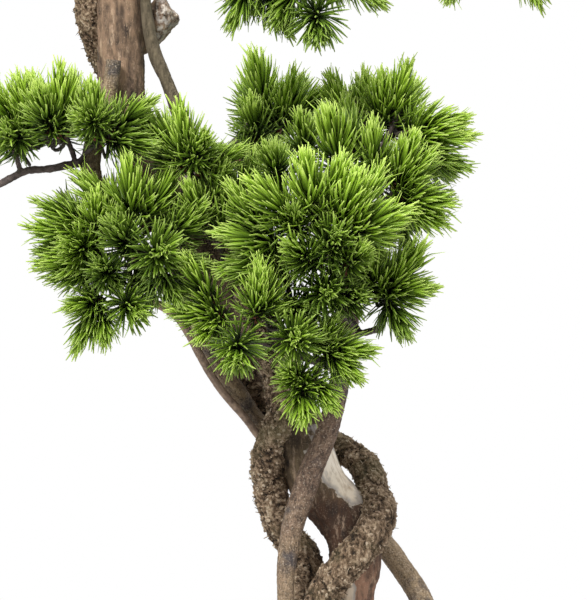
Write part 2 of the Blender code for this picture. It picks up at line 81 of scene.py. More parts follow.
class Board:
    """A node tree that is laid out step by step behind one Principled shader."""

    def __init__(self, name: str) -> None:
        """Starts a material.

        Args:
            name: the material's name.
        """
        self.material = bpy.data.materials.new(name)
        self.material.use_nodes = True
        self.tree = self.material.node_tree
        self.shader = self.tree.nodes["Principled BSDF"]

    def node(self, kind: str, **inputs: object) -> bpy.types.Node:
        """Adds a node and feeds its inputs.

        Args:
            kind: the node's type without its prefix.
            **inputs: values or sockets, by input name with underscores for spaces.

        Returns:
            The node.
        """
        made = self.tree.nodes.new("ShaderNode" + kind)
        for key, value in inputs.items():
            self.feed(made.inputs[key.replace("_", " ")], value)
        return made

    def feed(self, socket: bpy.types.NodeSocket, value: object) -> None:
        """Sets an input to a value, or links it to an output."""
        if isinstance(value, bpy.types.NodeSocket):
            self.tree.links.new(value, socket)
        else:
            socket.default_value = value

    def set(self, **inputs: object) -> None:
        """Feeds the shader's own inputs."""
        for key, value in inputs.items():
            self.feed(self.shader.inputs[key.replace("_", " ")], value)

    def place(self, stretch: Place = (1.0, 1.0, 1.0)) -> bpy.types.NodeSocket:
        """Returns the object's own coordinates in metres, stretched."""
        source = self.node("TexCoord").outputs["Object"]
        return self.node("Mapping", Vector=source, Scale=stretch).outputs["Vector"]

    def along(self, around: float, length: float) -> bpy.types.NodeSocket:
        """Returns a place that runs round and along a swept stem, without a seam.

        Args:
            around: the radius that the stem is given.
            length: the length that it is given.
        """
        source = self.node("UVMap")
        source.uv_map = BARK_MAP
        parts = self.node("SeparateXYZ", Vector=source.outputs["UV"])
        turn = self.sum("MULTIPLY", parts.outputs["Y"], FULL_TURN)
        return self.node("CombineXYZ", X=self.sum("MULTIPLY", self.sum("COSINE", turn), around),
                         Y=self.sum("MULTIPLY", self.sum("SINE", turn), around),
                         Z=self.sum("MULTIPLY", parts.outputs["X"], length)).outputs["Vector"]

    def sum(self, operation: str, *values: object) -> bpy.types.NodeSocket:
        """Returns the outcome of a sum on numbers or sockets."""
        made = self.node("Math")
        made.operation = operation
        for socket, value in zip(made.inputs, values):
            self.feed(socket, value)
        return made.outputs["Value"]

    def noise(self, vector: bpy.types.NodeSocket, scale: float, detail: float = 4.0,
              roughness: float = 0.6) -> bpy.types.NodeSocket:
        """Returns a noise from 0 to 1."""
        made = self.node("TexNoise", Vector=vector, Scale=scale, Detail=detail, Roughness=roughness)
        return made.outputs["Fac"]

    def ramp(self, source: bpy.types.NodeSocket, *stops: tuple[float, Colour]) -> bpy.types.NodeSocket:
        """Returns a colour run along the source.

        Args:
            source: a number from 0 to 1.
            *stops: places on the run and their colours.
        """
        made = self.node("ValToRGB", Fac=source)
        band = made.color_ramp.elements
        while len(band) < len(stops):
            band.new(0.5)
        for element, (where, colour) in zip(band, stops):
            element.position = where
            element.color = (*colour, 1.0)
        return made.outputs["Color"]

    def level(self, source: bpy.types.NodeSocket, low: float, high: float, start: float = 0.0,
              end: float = 1.0) -> bpy.types.NodeSocket:
        """Returns the source with low to high spread over start to end."""
        made = self.node("MapRange", Value=source, From_Min=low, From_Max=high, To_Min=start, To_Max=end)
        return made.outputs["Result"]

    def mix(self, share: object, one: object, two: object, blend: str = "MIX") -> bpy.types.NodeSocket:
        """Returns two colours blended."""
        made = self.tree.nodes.new("ShaderNodeMix")
        made.data_type = "RGBA"
        made.blend_type = blend
        self.feed(made.inputs[0], share)
        for socket, value in ((made.inputs[6], one), (made.inputs[7], two)):
            self.feed(socket, (*value, 1.0) if isinstance(value, tuple) else value)
        return made.outputs[2]

    def coated(self, under: bpy.types.NodeSocket,
               *coats: tuple[Colour, bpy.types.NodeSocket, float, float, float]) -> bpy.types.NodeSocket:
        """Returns a colour with coats on it, each laid where its own noise is strong.

        Args:
            under: the colour below.
            *coats: for each, its colour, its noise, the noise at which it starts, the noise at which
                it is full, and how far it covers at most.
        """
        for over, strength, start, full, most in coats:
            under = self.mix(self.level(strength, start, full, 0.0, most), under, over)
        return under

    def carried(self, name: str) -> bpy.types.NodeSocket:
        """Returns a number that the mesh carries at its points."""
        made = self.node("Attribute")
        made.attribute_name = name
        return made.outputs["Fac"]

    def bump(self, height: bpy.types.NodeSocket, depth: float, strength: float = 1.0,
             under: bpy.types.NodeSocket | None = None) -> bpy.types.NodeSocket:
        """Returns a bumped normal; depth is in metres."""
        made = self.node("Bump", Height=height, Distance=depth, Strength=strength)
        if under is not None:
            self.feed(made.inputs["Normal"], under)
        return made.outputs["Normal"]


@dataclass(frozen=True)
class NeedleFinish:
    """Needles: near-black green where they leave the twig, yellow-green at the tip; the dark foot is partly
    painted shade of the tuft's crowded inside and the pale tip partly painted highlight.
    """

    heart: Colour = (0.006, 0.012, 0.002)
    lower: Colour = (0.030, 0.060, 0.004)
    middle: Colour = (0.120, 0.215, 0.010)
    upper: Colour = (0.310, 0.490, 0.032)
    tip: Colour = (0.600, 0.760, 0.160)
    old_lower: Colour = (0.012, 0.026, 0.004)
    old_upper: Colour = (0.048, 0.098, 0.010)
    old_tip: Colour = (0.150, 0.235, 0.035)
    roughness: float = 0.44

    def make(self) -> bpy.types.Material:
        """Builds the material from the needle map: length across it, shade up it."""
        board = Board("needles")
        source = board.node("UVMap")
        source.uv_map = NEEDLE_MAP
        parts = board.node("SeparateXYZ", Vector=source.outputs["UV"])
        length, shade = parts.outputs["X"], parts.outputs["Y"]
        # Painted light: each needle darkens towards its foot as painted shade inside the tuft and brightens
        # at its tip as painted highlight, on top of the needles' own green.
        young = board.ramp(length, (0.0, self.heart), (0.18, self.lower), (0.45, self.middle),
                           (0.78, self.upper), (1.0, self.tip))
        old = board.ramp(length, (0.0, self.heart), (0.25, self.old_lower), (0.65, self.old_upper),
                         (1.0, self.old_tip))
        board.set(Base_Color=board.mix(board.level(shade, 0.08, 0.85), old, young),
                  Roughness=self.roughness, Subsurface_Weight=0.0, IOR=1.45)
        return board.material


@dataclass(frozen=True)
class PeeledFinish:
    """The main trunk: bark that turns from red-brown to grey-pink going up, peeled to stained wood; a dark
    band low on it is partly the bark's own colour and partly painted shade.
    """

    crease_and_shade: Colour = (0.022, 0.012, 0.007)
    foot: Colour = (0.340, 0.185, 0.115)
    dark_waist_and_shade: Colour = (0.085, 0.038, 0.019)
    middle: Colour = (0.200, 0.140, 0.078)
    top: Colour = (0.310, 0.198, 0.122)
    light: Colour = (0.700, 0.500, 0.340)
    wood: Colour = (0.930, 0.830, 0.690)
    wood_tan: Colour = (0.470, 0.340, 0.215)
    stain: Colour = (0.190, 0.180, 0.190)
    moss: Colour = (0.110, 0.105, 0.045)

    def make(self) -> bpy.types.Material:
        """Builds the material; the mesh carries where the wood is bare and where it is hollow."""
        board = Board("peeled_bark")
        place = board.place()
        long_way = board.place((1.0, 1.0, 0.30))
        height = board.node("SeparateXYZ", Vector=place).outputs["Z"]
        bare = board.carried("bare")
        ragged = board.level(board.noise(place, 260.0, 6.0, 0.7), 0.2, 0.8, -0.20, 0.20)
        peel = board.level(board.sum("ADD", bare, ragged), 0.45, 0.55)
        # The dark band near the foot is partly the bark's own darker colour and partly painted shade of the
        # trunk's lower part.
        tint = board.ramp(board.level(height, 0.27, 0.77), (0.05, self.foot), (0.10, self.dark_waist_and_shade),
                          (0.17, self.dark_waist_and_shade), (0.22, self.middle), (0.60, self.middle), (0.78, self.top))
        fibres = board.level(board.noise(long_way, 130.0, 8.0, 0.72), 0.34, 0.56)
        bark = board.coated(board.mix(fibres, self.crease_and_shade, tint),
                            (self.light, board.noise(long_way, 210.0, 7.0, 0.70), 0.54, 0.72, 0.75),
                            (self.crease_and_shade, board.noise(place, 26.0, 5.0, 0.6), 0.56, 0.70, 0.6),
                            (self.moss, board.noise(place, 34.0, 4.0), 0.58, 0.72, 0.55),
                            (self.light, board.noise(place, 1100.0, 2.0), 0.62, 0.70, 0.5))
        streaks = board.noise(board.place((1.0, 1.0, 0.16)), 230.0, 6.0, 0.6)
        clouds = board.noise(board.place((1.0, 1.0, 0.45)), 70.0, 5.0, 0.65)
        wood = board.coated(board.ramp(streaks, (0.30, self.wood_tan), (0.50, self.wood)),
                            (self.stain, clouds, 0.50, 0.66, 0.9),
                            (self.wood_tan, board.noise(place, 48.0, 3.0), 0.52, 0.70, 0.6),
                            (self.wood_tan, height, 0.388, 0.352, 0.55))
        rim = board.sum("MULTIPLY", board.level(bare, 0.40, 0.60), board.level(bare, 0.60, 0.95, 1.0, 0.0))
        wood = board.mix(board.sum("MULTIPLY", rim, 0.7), wood, self.stain)
        # The bark's hollows are darkened: partly the fissures' own dark colour, partly painted shade.
        colour = board.coated(board.mix(peel, bark, wood),
                              (self.crease_and_shade, board.carried("hollow"), 0.45, 0.95, 0.9))
        fine = board.noise(long_way, 520.0, 8.0, 0.75)
        board.set(Base_Color=colour, Roughness=board.level(fine, 0.3, 0.7, 0.66, 0.9),
                  Normal=board.bump(fine, 0.0014, board.level(peel, 0.0, 1.0, 1.0, 0.35)))
        return board.material


@dataclass(frozen=True)
class CorkyFinish:
    """The corky lianas: crumbly grey-brown cork, dark in its cracks and pale on its crests; the dark is
    partly painted shade and the pale partly painted highlight.
    """

    crack: Colour = (0.024, 0.013, 0.006)
    deep: Colour = (0.125, 0.074, 0.038)
    cork: Colour = (0.310, 0.205, 0.122)
    crest_and_highlight: Colour = (0.600, 0.445, 0.295)
    fleck_and_highlight: Colour = (0.800, 0.650, 0.470)
    lichen: Colour = (0.170, 0.150, 0.065)
    plain_dark: Colour = (0.055, 0.042, 0.022)
    plain_light: Colour = (0.260, 0.205, 0.130)

    def make(self) -> bpy.types.Material:
        """Builds the material; the mesh carries how deep each point lies and where it is smooth."""
        board = Board("corky_bark")
        place = board.place()
        hollow = board.carried("hollow")
        crumbs = board.noise(place, 640.0, 8.0, 0.78)
        grains = board.noise(place, 1500.0, 4.0, 0.7)
        depth = board.sum("ADD", hollow, board.level(crumbs, 0.25, 0.75, 0.30, -0.30))
        # Painted light: the deeper a point lies the darker it is painted, as painted shade in the cracks,
        # and the highest points are painted pale, as painted highlight, on top of the cork's own tones.
        base = board.ramp(depth, (0.04, self.fleck_and_highlight), (0.20, self.crest_and_highlight), (0.42, self.cork),
                          (0.62, self.deep), (0.84, self.crack))
        pits = board.noise(board.place((1.0, 1.0, 1.02)), 930.0, 4.0, 0.7)
        # The pale flecks lie on the tops of the fine grains, the same noise that bumps them: partly the
        # cork's own flecks, partly painted highlight.
        base = board.coated(base,
                            (self.lichen, board.noise(place, 28.0, 3.0), 0.50, 0.70, 0.5),
                            (self.fleck_and_highlight, grains, 0.60, 0.70, 0.85),
                            (self.crack, pits, 0.56, 0.66, 0.85))
        plain = board.ramp(board.noise(board.place((1.0, 1.0, 0.35)), 330.0, 7.0, 0.7),
                           (0.32, self.plain_dark), (0.66, self.plain_light))
        colour = board.mix(board.carried("bare"), base, plain)
        board.set(Base_Color=colour, Roughness=0.92,
                  Normal=board.bump(grains, 0.0008, 0.7, board.bump(crumbs, 0.0026, 1.0)))
        return board.material


@dataclass(frozen=True)
class SmoothFinish:
    """The smooth stems: purple-brown to tan, pebbled, with a fine grain that runs along them; painted shade
    lies in the dips between the pebbles and in the hollows, and the light specks on the pebbles' tops are
    partly painted highlight.
    """

    dark_grain_and_shade: Colour = (0.024, 0.014, 0.009)
    base: Colour = (0.145, 0.086, 0.054)
    light: Colour = (0.320, 0.210, 0.140)
    tan_dark: Colour = (0.150, 0.098, 0.048)
    tan: Colour = (0.400, 0.285, 0.170)
    speck: Colour = (0.620, 0.520, 0.400)
    bruise: Colour = (0.045, 0.042, 0.050)

    def make(self) -> bpy.types.Material:
        """Builds the material on the stem's own map, so that the grain follows each bend."""
        board = Board("smooth_bark")
        place = board.place()
        grain = board.noise(board.along(1.0, 30.0), 2.6, 8.0, 0.72)
        fine = board.noise(board.along(1.0, 110.0), 7.5, 6.0, 0.75)
        pebbles = board.noise(place, 760.0, 3.0, 0.65)
        brown = board.ramp(grain, (0.34, self.dark_grain_and_shade), (0.48, self.base), (0.68, self.light))
        tan = board.ramp(grain, (0.34, self.tan_dark), (0.58, self.tan))
        # Painted light: light specks on the pebbles' tops are partly painted highlight, and the dips
        # between the pebbles and the stem's hollows are darkened as painted shade; the dark streaks along
        # the fine grain are the bark's own.
        colour = board.coated(board.mix(board.carried("bare"), brown, tan),
                              (self.bruise, board.noise(place, 40.0, 4.0, 0.6), 0.53, 0.66, 0.8),
                              (self.dark_grain_and_shade, fine, 0.54, 0.70, 0.7),
                              (self.speck, pebbles, 0.56, 0.70, 0.75),
                              (self.dark_grain_and_shade, pebbles, 0.44, 0.34, 0.8),
                              (self.dark_grain_and_shade, board.carried("hollow"), 0.55, 1.0, 0.6))
        board.set(Base_Color=colour, Roughness=board.level(fine, 0.3, 0.7, 0.56, 0.80),
                  Normal=board.bump(pebbles, 0.0010, 0.9, board.bump(grain, 0.0014, 0.7)))
        return board.material


@dataclass(frozen=True)
class TwigFinish:
    """Thin bark, mottled between two tones; as it comes, the dark purple-brown of the twigs."""

    name: str = "twig_bark"
    dark: Colour = (0.028, 0.019, 0.017)
    light: Colour = (0.150, 0.110, 0.098)

    def make(self) -> bpy.types.Material:
        """Builds the material."""
        board = Board(self.name)
        place = board.place()
        patch = board.noise(place, 170.0, 6.0, 0.65)
        fine = board.noise(place, 900.0, 4.0, 0.6)
        colour = board.ramp(patch, (0.32, self.dark), (0.68, self.light))
        board.set(Base_Color=colour, Roughness=0.72, Normal=board.bump(fine, 0.0006, 0.8))
        return board.material


@dataclass(frozen=True)
class PotFinish:
    """The pot: warm grey stoneware with throwing rings and iron specks."""

    clay: Colour = (0.52, 0.49, 0.44)
    shade: Colour = (0.40, 0.37, 0.33)
    speck: Colour = (0.14, 0.11, 0.09)

    def make(self) -> bpy.types.Material:
        """Builds the material."""
        board = Board("pot")
        place = board.place()
        cloud = board.noise(place, 14.0, 4.0)
        rings = board.noise(board.place((0.02, 0.02, 1.0)), 520.0, 2.0)
        specks = board.noise(place, 620.0, 2.0, 0.5)
        colour = board.mix(board.level(cloud, 0.35, 0.65), self.clay, self.shade)
        colour = board.coated(colour, (self.speck, specks, 0.66, 0.72, 0.8))
        board.set(Base_Color=colour, Roughness=board.level(cloud, 0.3, 0.7, 0.42, 0.58),
                  Normal=board.bump(rings, 0.0005, 0.5, board.bump(specks, 0.0002, 0.4)))
        return board.material


@dataclass(frozen=True)
class SoilFinish:
    """Potting soil: near-black peat with paler grit and bark crumbs."""

    peat: Colour = (0.018, 0.011, 0.007)
    crumb: Colour = (0.075, 0.046, 0.028)
    grit: Colour = (0.240, 0.190, 0.140)

    def make(self) -> bpy.types.Material:
        """Builds the material."""
        board = Board("soil")
        place = board.place()
        coarse = board.noise(place, 160.0, 8.0, 0.72)
        grains = board.noise(place, 520.0, 3.0, 0.6)
        colour = board.ramp(coarse, (0.36, self.peat), (0.64, self.crumb))
        colour = board.coated(colour, (self.grit, grains, 0.64, 0.72, 0.8))
        board.set(Base_Color=colour, Roughness=0.96, Normal=board.bump(coarse, 0.0025, 1.0))
        return board.material


# ---------------------------------------------------------------- shared tools


def show(name: str, mesh: bpy.types.Mesh, material: bpy.types.Material) -> bpy.types.Object:
    """Links a finished mesh as a piece at the origin.

    Args:
        name: the piece's name.
        mesh: the mesh, with its place in it.
        material: its only material.

    Returns:
        The piece.
    """
    mesh.materials.clear()
    mesh.materials.append(material)
    piece = bpy.data.objects.new(name, mesh)
    bpy.context.collection.objects.link(piece)
    return piece


def seat(piece: bpy.types.Object, slot: str, *nodes: str) -> None:
    """Rides a piece on the plant's one body, in place of its frame nodes, and reports it."""
    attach(piece, BODY)
    if nodes:
        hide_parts(*nodes)
    LOG.info("%s: %d faces", piece.name, len(piece.data.polygons))


def smooth_line(points: np.ndarray, step: float) -> np.ndarray:
    """Samples a smooth curve through the rows of an array.

    Args:
        points: rows of x, y, z and radius.
        step: the distance between samples.

    Returns:
        The samples, evenly spaced, with the same columns.
    """
    padded = np.vstack([2 * points[0] - points[1], points, 2 * points[-1] - points[-2]])
    dense = []
    for first, second, third, fourth in zip(padded, padded[1:], padded[2:], padded[3:]):
        for share in np.linspace(0.0, 1.0, 12, endpoint=False):
            dense.append(0.5 * (
                2 * second + (third - first) * share
                + (2 * first - 5 * second + 4 * third - fourth) * share ** 2
                + (3 * second - first - 3 * third + fourth) * share ** 3))
    dense.append(points[-1])
    rows = np.array(dense)
    along = np.concatenate([[0.0], np.cumsum(np.linalg.norm(np.diff(rows[:, :3], axis=0), axis=1))])
    count = max(3, int(round(along[-1] / step)) + 1)
    places = np.linspace(0.0, along[-1], count)
    return np.column_stack([np.interp(places, along, rows[:, column]) for column in range(4)])


def swept(name: str, lines: list[np.ndarray], sides: int, capped: bool = False) -> bpy.types.Mesh:
    """Sweeps round tubes along lines, ring after ring.

    Args:
        name: the mesh's name.
        lines: for each tube, rows of x, y, z and radius.
        sides: how many sides a tube has, an even number of 6 or more.
        capped: whether the ends are closed.

    Returns:
        The mesh; the points of an open tube run round each ring in turn.
    """
    curve = bpy.data.curves.new(name, "CURVE")
    curve.dimensions = "3D"
    curve.bevel_depth = 1.0
    curve.bevel_resolution = sides // 2 - 2
    curve.use_fill_caps = capped
    for line in lines:
        spline = curve.splines.new("POLY")
        spline.points.add(len(line) - 1)
        for point, (x, y, z, radius) in zip(spline.points, line):
            point.co = (x, y, z, 1.0)
            point.radius = radius
    guide = bpy.data.objects.new(name + "_guide", curve)
    bpy.context.collection.objects.link(guide)
    graph = bpy.context.evaluated_depsgraph_get()
    mesh = bpy.data.meshes.new_from_object(guide.evaluated_get(graph))
    bpy.data.objects.remove(guide, do_unlink=True)
    return mesh


@contextmanager
def opened(mesh: bpy.types.Mesh) -> Iterator[bmesh.types.BMesh]:
    """Opens a mesh for modelling and writes the outcome back."""
    bm = bmesh.new()
    bm.from_mesh(mesh)
    yield bm
    bm.to_mesh(mesh)
    bm.free()


def closed(mesh: bpy.types.Mesh) -> None:
    """Fills a tube's open ends and turns its faces outwards."""
    with opened(mesh) as bm:
        bmesh.ops.holes_fill(bm, edges=[edge for edge in bm.edges if edge.is_boundary])
        bmesh.ops.recalc_face_normals(bm, faces=bm.faces[:])
    mesh.shade_smooth()


def joined(mesh: bpy.types.Mesh, others: list[bpy.types.Mesh]) -> None:
    """Adds other meshes' faces to a mesh; numbers that all of them carry are kept."""
    with opened(mesh) as bm:
        for other in others:
            bm.from_mesh(other)
            bpy.data.meshes.remove(other)


def unit(value: float) -> float:
    """Returns a number held between 0 and 1."""
    return min(1.0, max(0.0, value))


def aside(way: Vector, facing: float) -> float:
    """Returns how far a way lies from a facing round a stem, in degrees."""
    turn = math.degrees(math.atan2(way.y, way.x))
    return (turn - facing + 180.0) % 360.0 - 180.0


def turbulence(place: Vector, scale: float, octaves: int = 4) -> float:
    """Returns a rough noise from about -1 to 1 at a place; scale is features per metre."""
    return noise.fractal(place * scale, 0.8, 2.1, octaves)


def merged_copy(node: str, name: str) -> bpy.types.Mesh:
    """Returns a copy of a frame node's mesh with its loose triangles joined."""
    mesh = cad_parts[node].data.copy()
    mesh.name = name
    with opened(mesh) as bm:
        bmesh.ops.remove_doubles(bm, verts=bm.verts[:], dist=WELD)
    return mesh


def remeshed(mesh: bpy.types.Mesh, voxel: float, smoothing: int) -> bpy.types.Mesh:
    """Returns a mesh of even quads round the same shape.

    Args:
        mesh: a closed mesh.
        voxel: the size of the quads.
        smoothing: how often the quads are smoothed.
    """
    carrier = bpy.data.objects.new(mesh.name + "_carrier", mesh)
    bpy.context.collection.objects.link(carrier)
    grid = carrier.modifiers.new("grid", "REMESH")
    grid.mode = "VOXEL"
    grid.voxel_size = voxel
    relax = carrier.modifiers.new("relax", "SMOOTH")
    relax.iterations = smoothing
    relax.factor = 0.5
    graph = bpy.context.evaluated_depsgraph_get()
    result = bpy.data.meshes.new_from_object(carrier.evaluated_get(graph))
    bpy.data.objects.remove(carrier, do_unlink=True)
    result.shade_smooth()
    return result


def carry(mesh: bpy.types.Mesh, name: str, values: np.ndarray) -> None:
    """Stores one number for each point of a mesh."""
    layer = mesh.attributes.new(name, "FLOAT", "POINT")
    layer.data.foreach_set("value", values.astype(np.float32))


def barked(mesh: bpy.types.Mesh, places: np.ndarray, hollow: np.ndarray, bare: np.ndarray) -> None:
    """Moves a mesh's points to their places and stores how hollow and how bare each lies."""
    mesh.vertices.foreach_set("co", places.astype(np.float32).ravel())
    carry(mesh, "hollow", hollow)
    carry(mesh, "bare", bare)


def points_of(mesh: bpy.types.Mesh) -> np.ndarray:
    """Returns a mesh's points as rows."""
    flat = np.empty(len(mesh.vertices) * 3, dtype=np.float32)
    mesh.vertices.foreach_get("co", flat)
    return flat.reshape(-1, 3).astype(float)


# ---------------------------------------------------------------- stems


@dataclass(frozen=True)
class Patch:
    """A patch of bare wood on the trunk.

    Attributes:
        height: how high its middle lies.
        facing: the way it faces, in degrees round the trunk from +X.
        rise: half its height.
        spread: half its width, in degrees.
    """

    height: float
    facing: float
    rise: float
    spread: float


@dataclass(frozen=True)
class Knot:
    """A swelling where a side shoot once grew.

    Attributes:
        height: how high it lies.
        facing: the way it faces, in degrees round the stem from +X.
        size: how wide it is.
        lift: how far it stands out.
    """

    height: float
    facing: float
    size: float
    lift: float


@dataclass(frozen=True)
class Nudge:
    """A soft sideways push on part of a stem.

    Attributes:
        middle: where the push is strongest.
        reach: how far it reaches.
        push: how far it pushes.
    """

    middle: Place
    reach: float
    push: Place


def nudged(places: np.ndarray, nudges: tuple[Nudge, ...]) -> np.ndarray:
    """Returns rows of places with every push laid on."""
    moved = places.copy()
    for nudge in nudges:
        away = np.linalg.norm(places[:, :3] - np.array(nudge.middle), axis=1) / nudge.reach
        moved[:, :3] += np.exp(-away ** 2)[:, None] * np.array(nudge.push)
    return moved


@dataclass
class Stem:
    """A round stem whose line and girth come from its frame node.

    Attributes:
        node: its frame node.
        sides: how many sides the tube has.
        step: the distance between its rings.
        seed: moves its noise, so that no two stems are alike.
        knots: swellings on it.
        nudges: pushes on its line.
    """

    node: str
    sides: int = 40
    step: float = 0.0018
    seed: float = 0.0
    knots: tuple[Knot, ...] = ()
    nudges: tuple[Nudge, ...] = ()
    line: np.ndarray = field(init=False)

    def __post_init__(self) -> None:
        """Reads the centre line off the frame node's rings."""
        bm = bmesh.new()
        bm.from_mesh(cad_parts[self.node].data)
        bmesh.ops.remove_doubles(bm, verts=bm.verts[:], dist=WELD)
        foot = min(vertex.co.z for vertex in bm.verts)
        ring = [vertex for vertex in bm.verts if vertex.co.z < foot + 0.0001]
        seen = set(ring)
        rows = []
        while ring:
            middle = sum((vertex.co for vertex in ring), Vector()) / len(ring)
            reach = sum((vertex.co - middle).length for vertex in ring) / len(ring)
            if len(ring) > 3:
                rows.append((*middle, reach))
            beside = [edge.other_vert(vertex) for vertex in ring for edge in vertex.link_edges]
            ring = [vertex for vertex in dict.fromkeys(beside) if vertex not in seen]
            seen.update(ring)
        bm.free()
        self.line = smooth_line(nudged(np.array(rows), self.nudges), self.step)

    def relief(self, place: Vector, way: Vector, height: float) -> tuple[float, float, float]:
        """Says how the bark lies at a point of the plain tube.

        Args:
            place: the point.
            way: the way out of the stem there.
            height: how high the stem's middle is there.

        Returns:
            How far the point is lifted, how hollow it lies (0 to 1), and how bare it is (0 to 1).
        """
        raise NotImplementedError

    def knot_lift(self, way: Vector, height: float) -> float:
        """Returns how far the knots lift a point."""
        lift = 0.0
        for knot in self.knots:
            around = math.radians(aside(way, knot.facing)) * COMMON_GIRTH
            span = math.hypot(around, height - knot.height) / knot.size
            lift += knot.lift * math.exp(-span * span * 2.2)
        return lift

    def tube(self, name: str) -> bpy.types.Mesh:
        """Builds the stem with its bark raised.

        Args:
            name: the mesh's name.

        Returns:
            The mesh; it carries "hollow" and "bare".
        """
        mesh = swept(name, [self.line], self.sides)
        mesh.uv_layers[0].name = BARK_MAP
        places = points_of(mesh)
        hollow = np.zeros(len(places))
        bare = np.zeros(len(places))
        shift = Vector((self.seed, self.seed * 0.7, -self.seed))
        for index, row in enumerate(places):
            middle = self.line[index // self.sides, :3]
            way = Vector(row - middle).normalized()
            lift, hollow[index], bare[index] = self.relief(Vector(row) + shift, way, middle[2])
            places[index] = row + np.array(way) * lift
        barked(mesh, places, hollow, bare)
        closed(mesh)
        return mesh


@dataclass
class Trunk(Stem):
    """The main trunk, fluted and knotted, with patches of bare wood."""

    sides: int = 56
    step: float = 0.0019
    patches: tuple[Patch, ...] = ()

    def relief(self, place: Vector, way: Vector, height: float) -> tuple[float, float, float]:
        """Raises flutes, long ridges and fine bark, and lays the bare wood a little lower."""
        drawn = Vector((place.x, place.y, place.z * 0.28))
        swell = noise.noise(place * 22.0) * 0.0016
        flute = noise.noise(drawn * 62.0) * 0.0017
        ridge = turbulence(drawn, 190.0, 4)
        grain = turbulence(place, 420.0, 3)
        bare = self.bareness(place, way, height)
        rough = 1.0 - 0.8 * bare
        lift = swell + flute + (ridge * 0.0011 + grain * 0.0005) * rough - 0.0011 * bare
        lift += self.knot_lift(way, height)
        hollow = unit(0.42 - ridge * 0.55 - flute * 160.0)
        return lift, hollow * rough, bare

    def bareness(self, place: Vector, way: Vector, height: float) -> float:
        """Returns how bare the wood is, 0 to 1."""
        ragged = turbulence(Vector((place.x, place.y, place.z * 0.5)), 75.0, 3) * 0.30
        most = 0.0
        for patch in self.patches:
            away = math.hypot(aside(way, patch.facing) / patch.spread, (height - patch.height) / patch.rise)
            most = max(most, unit((1.25 - away + ragged) / 0.5))
        return most


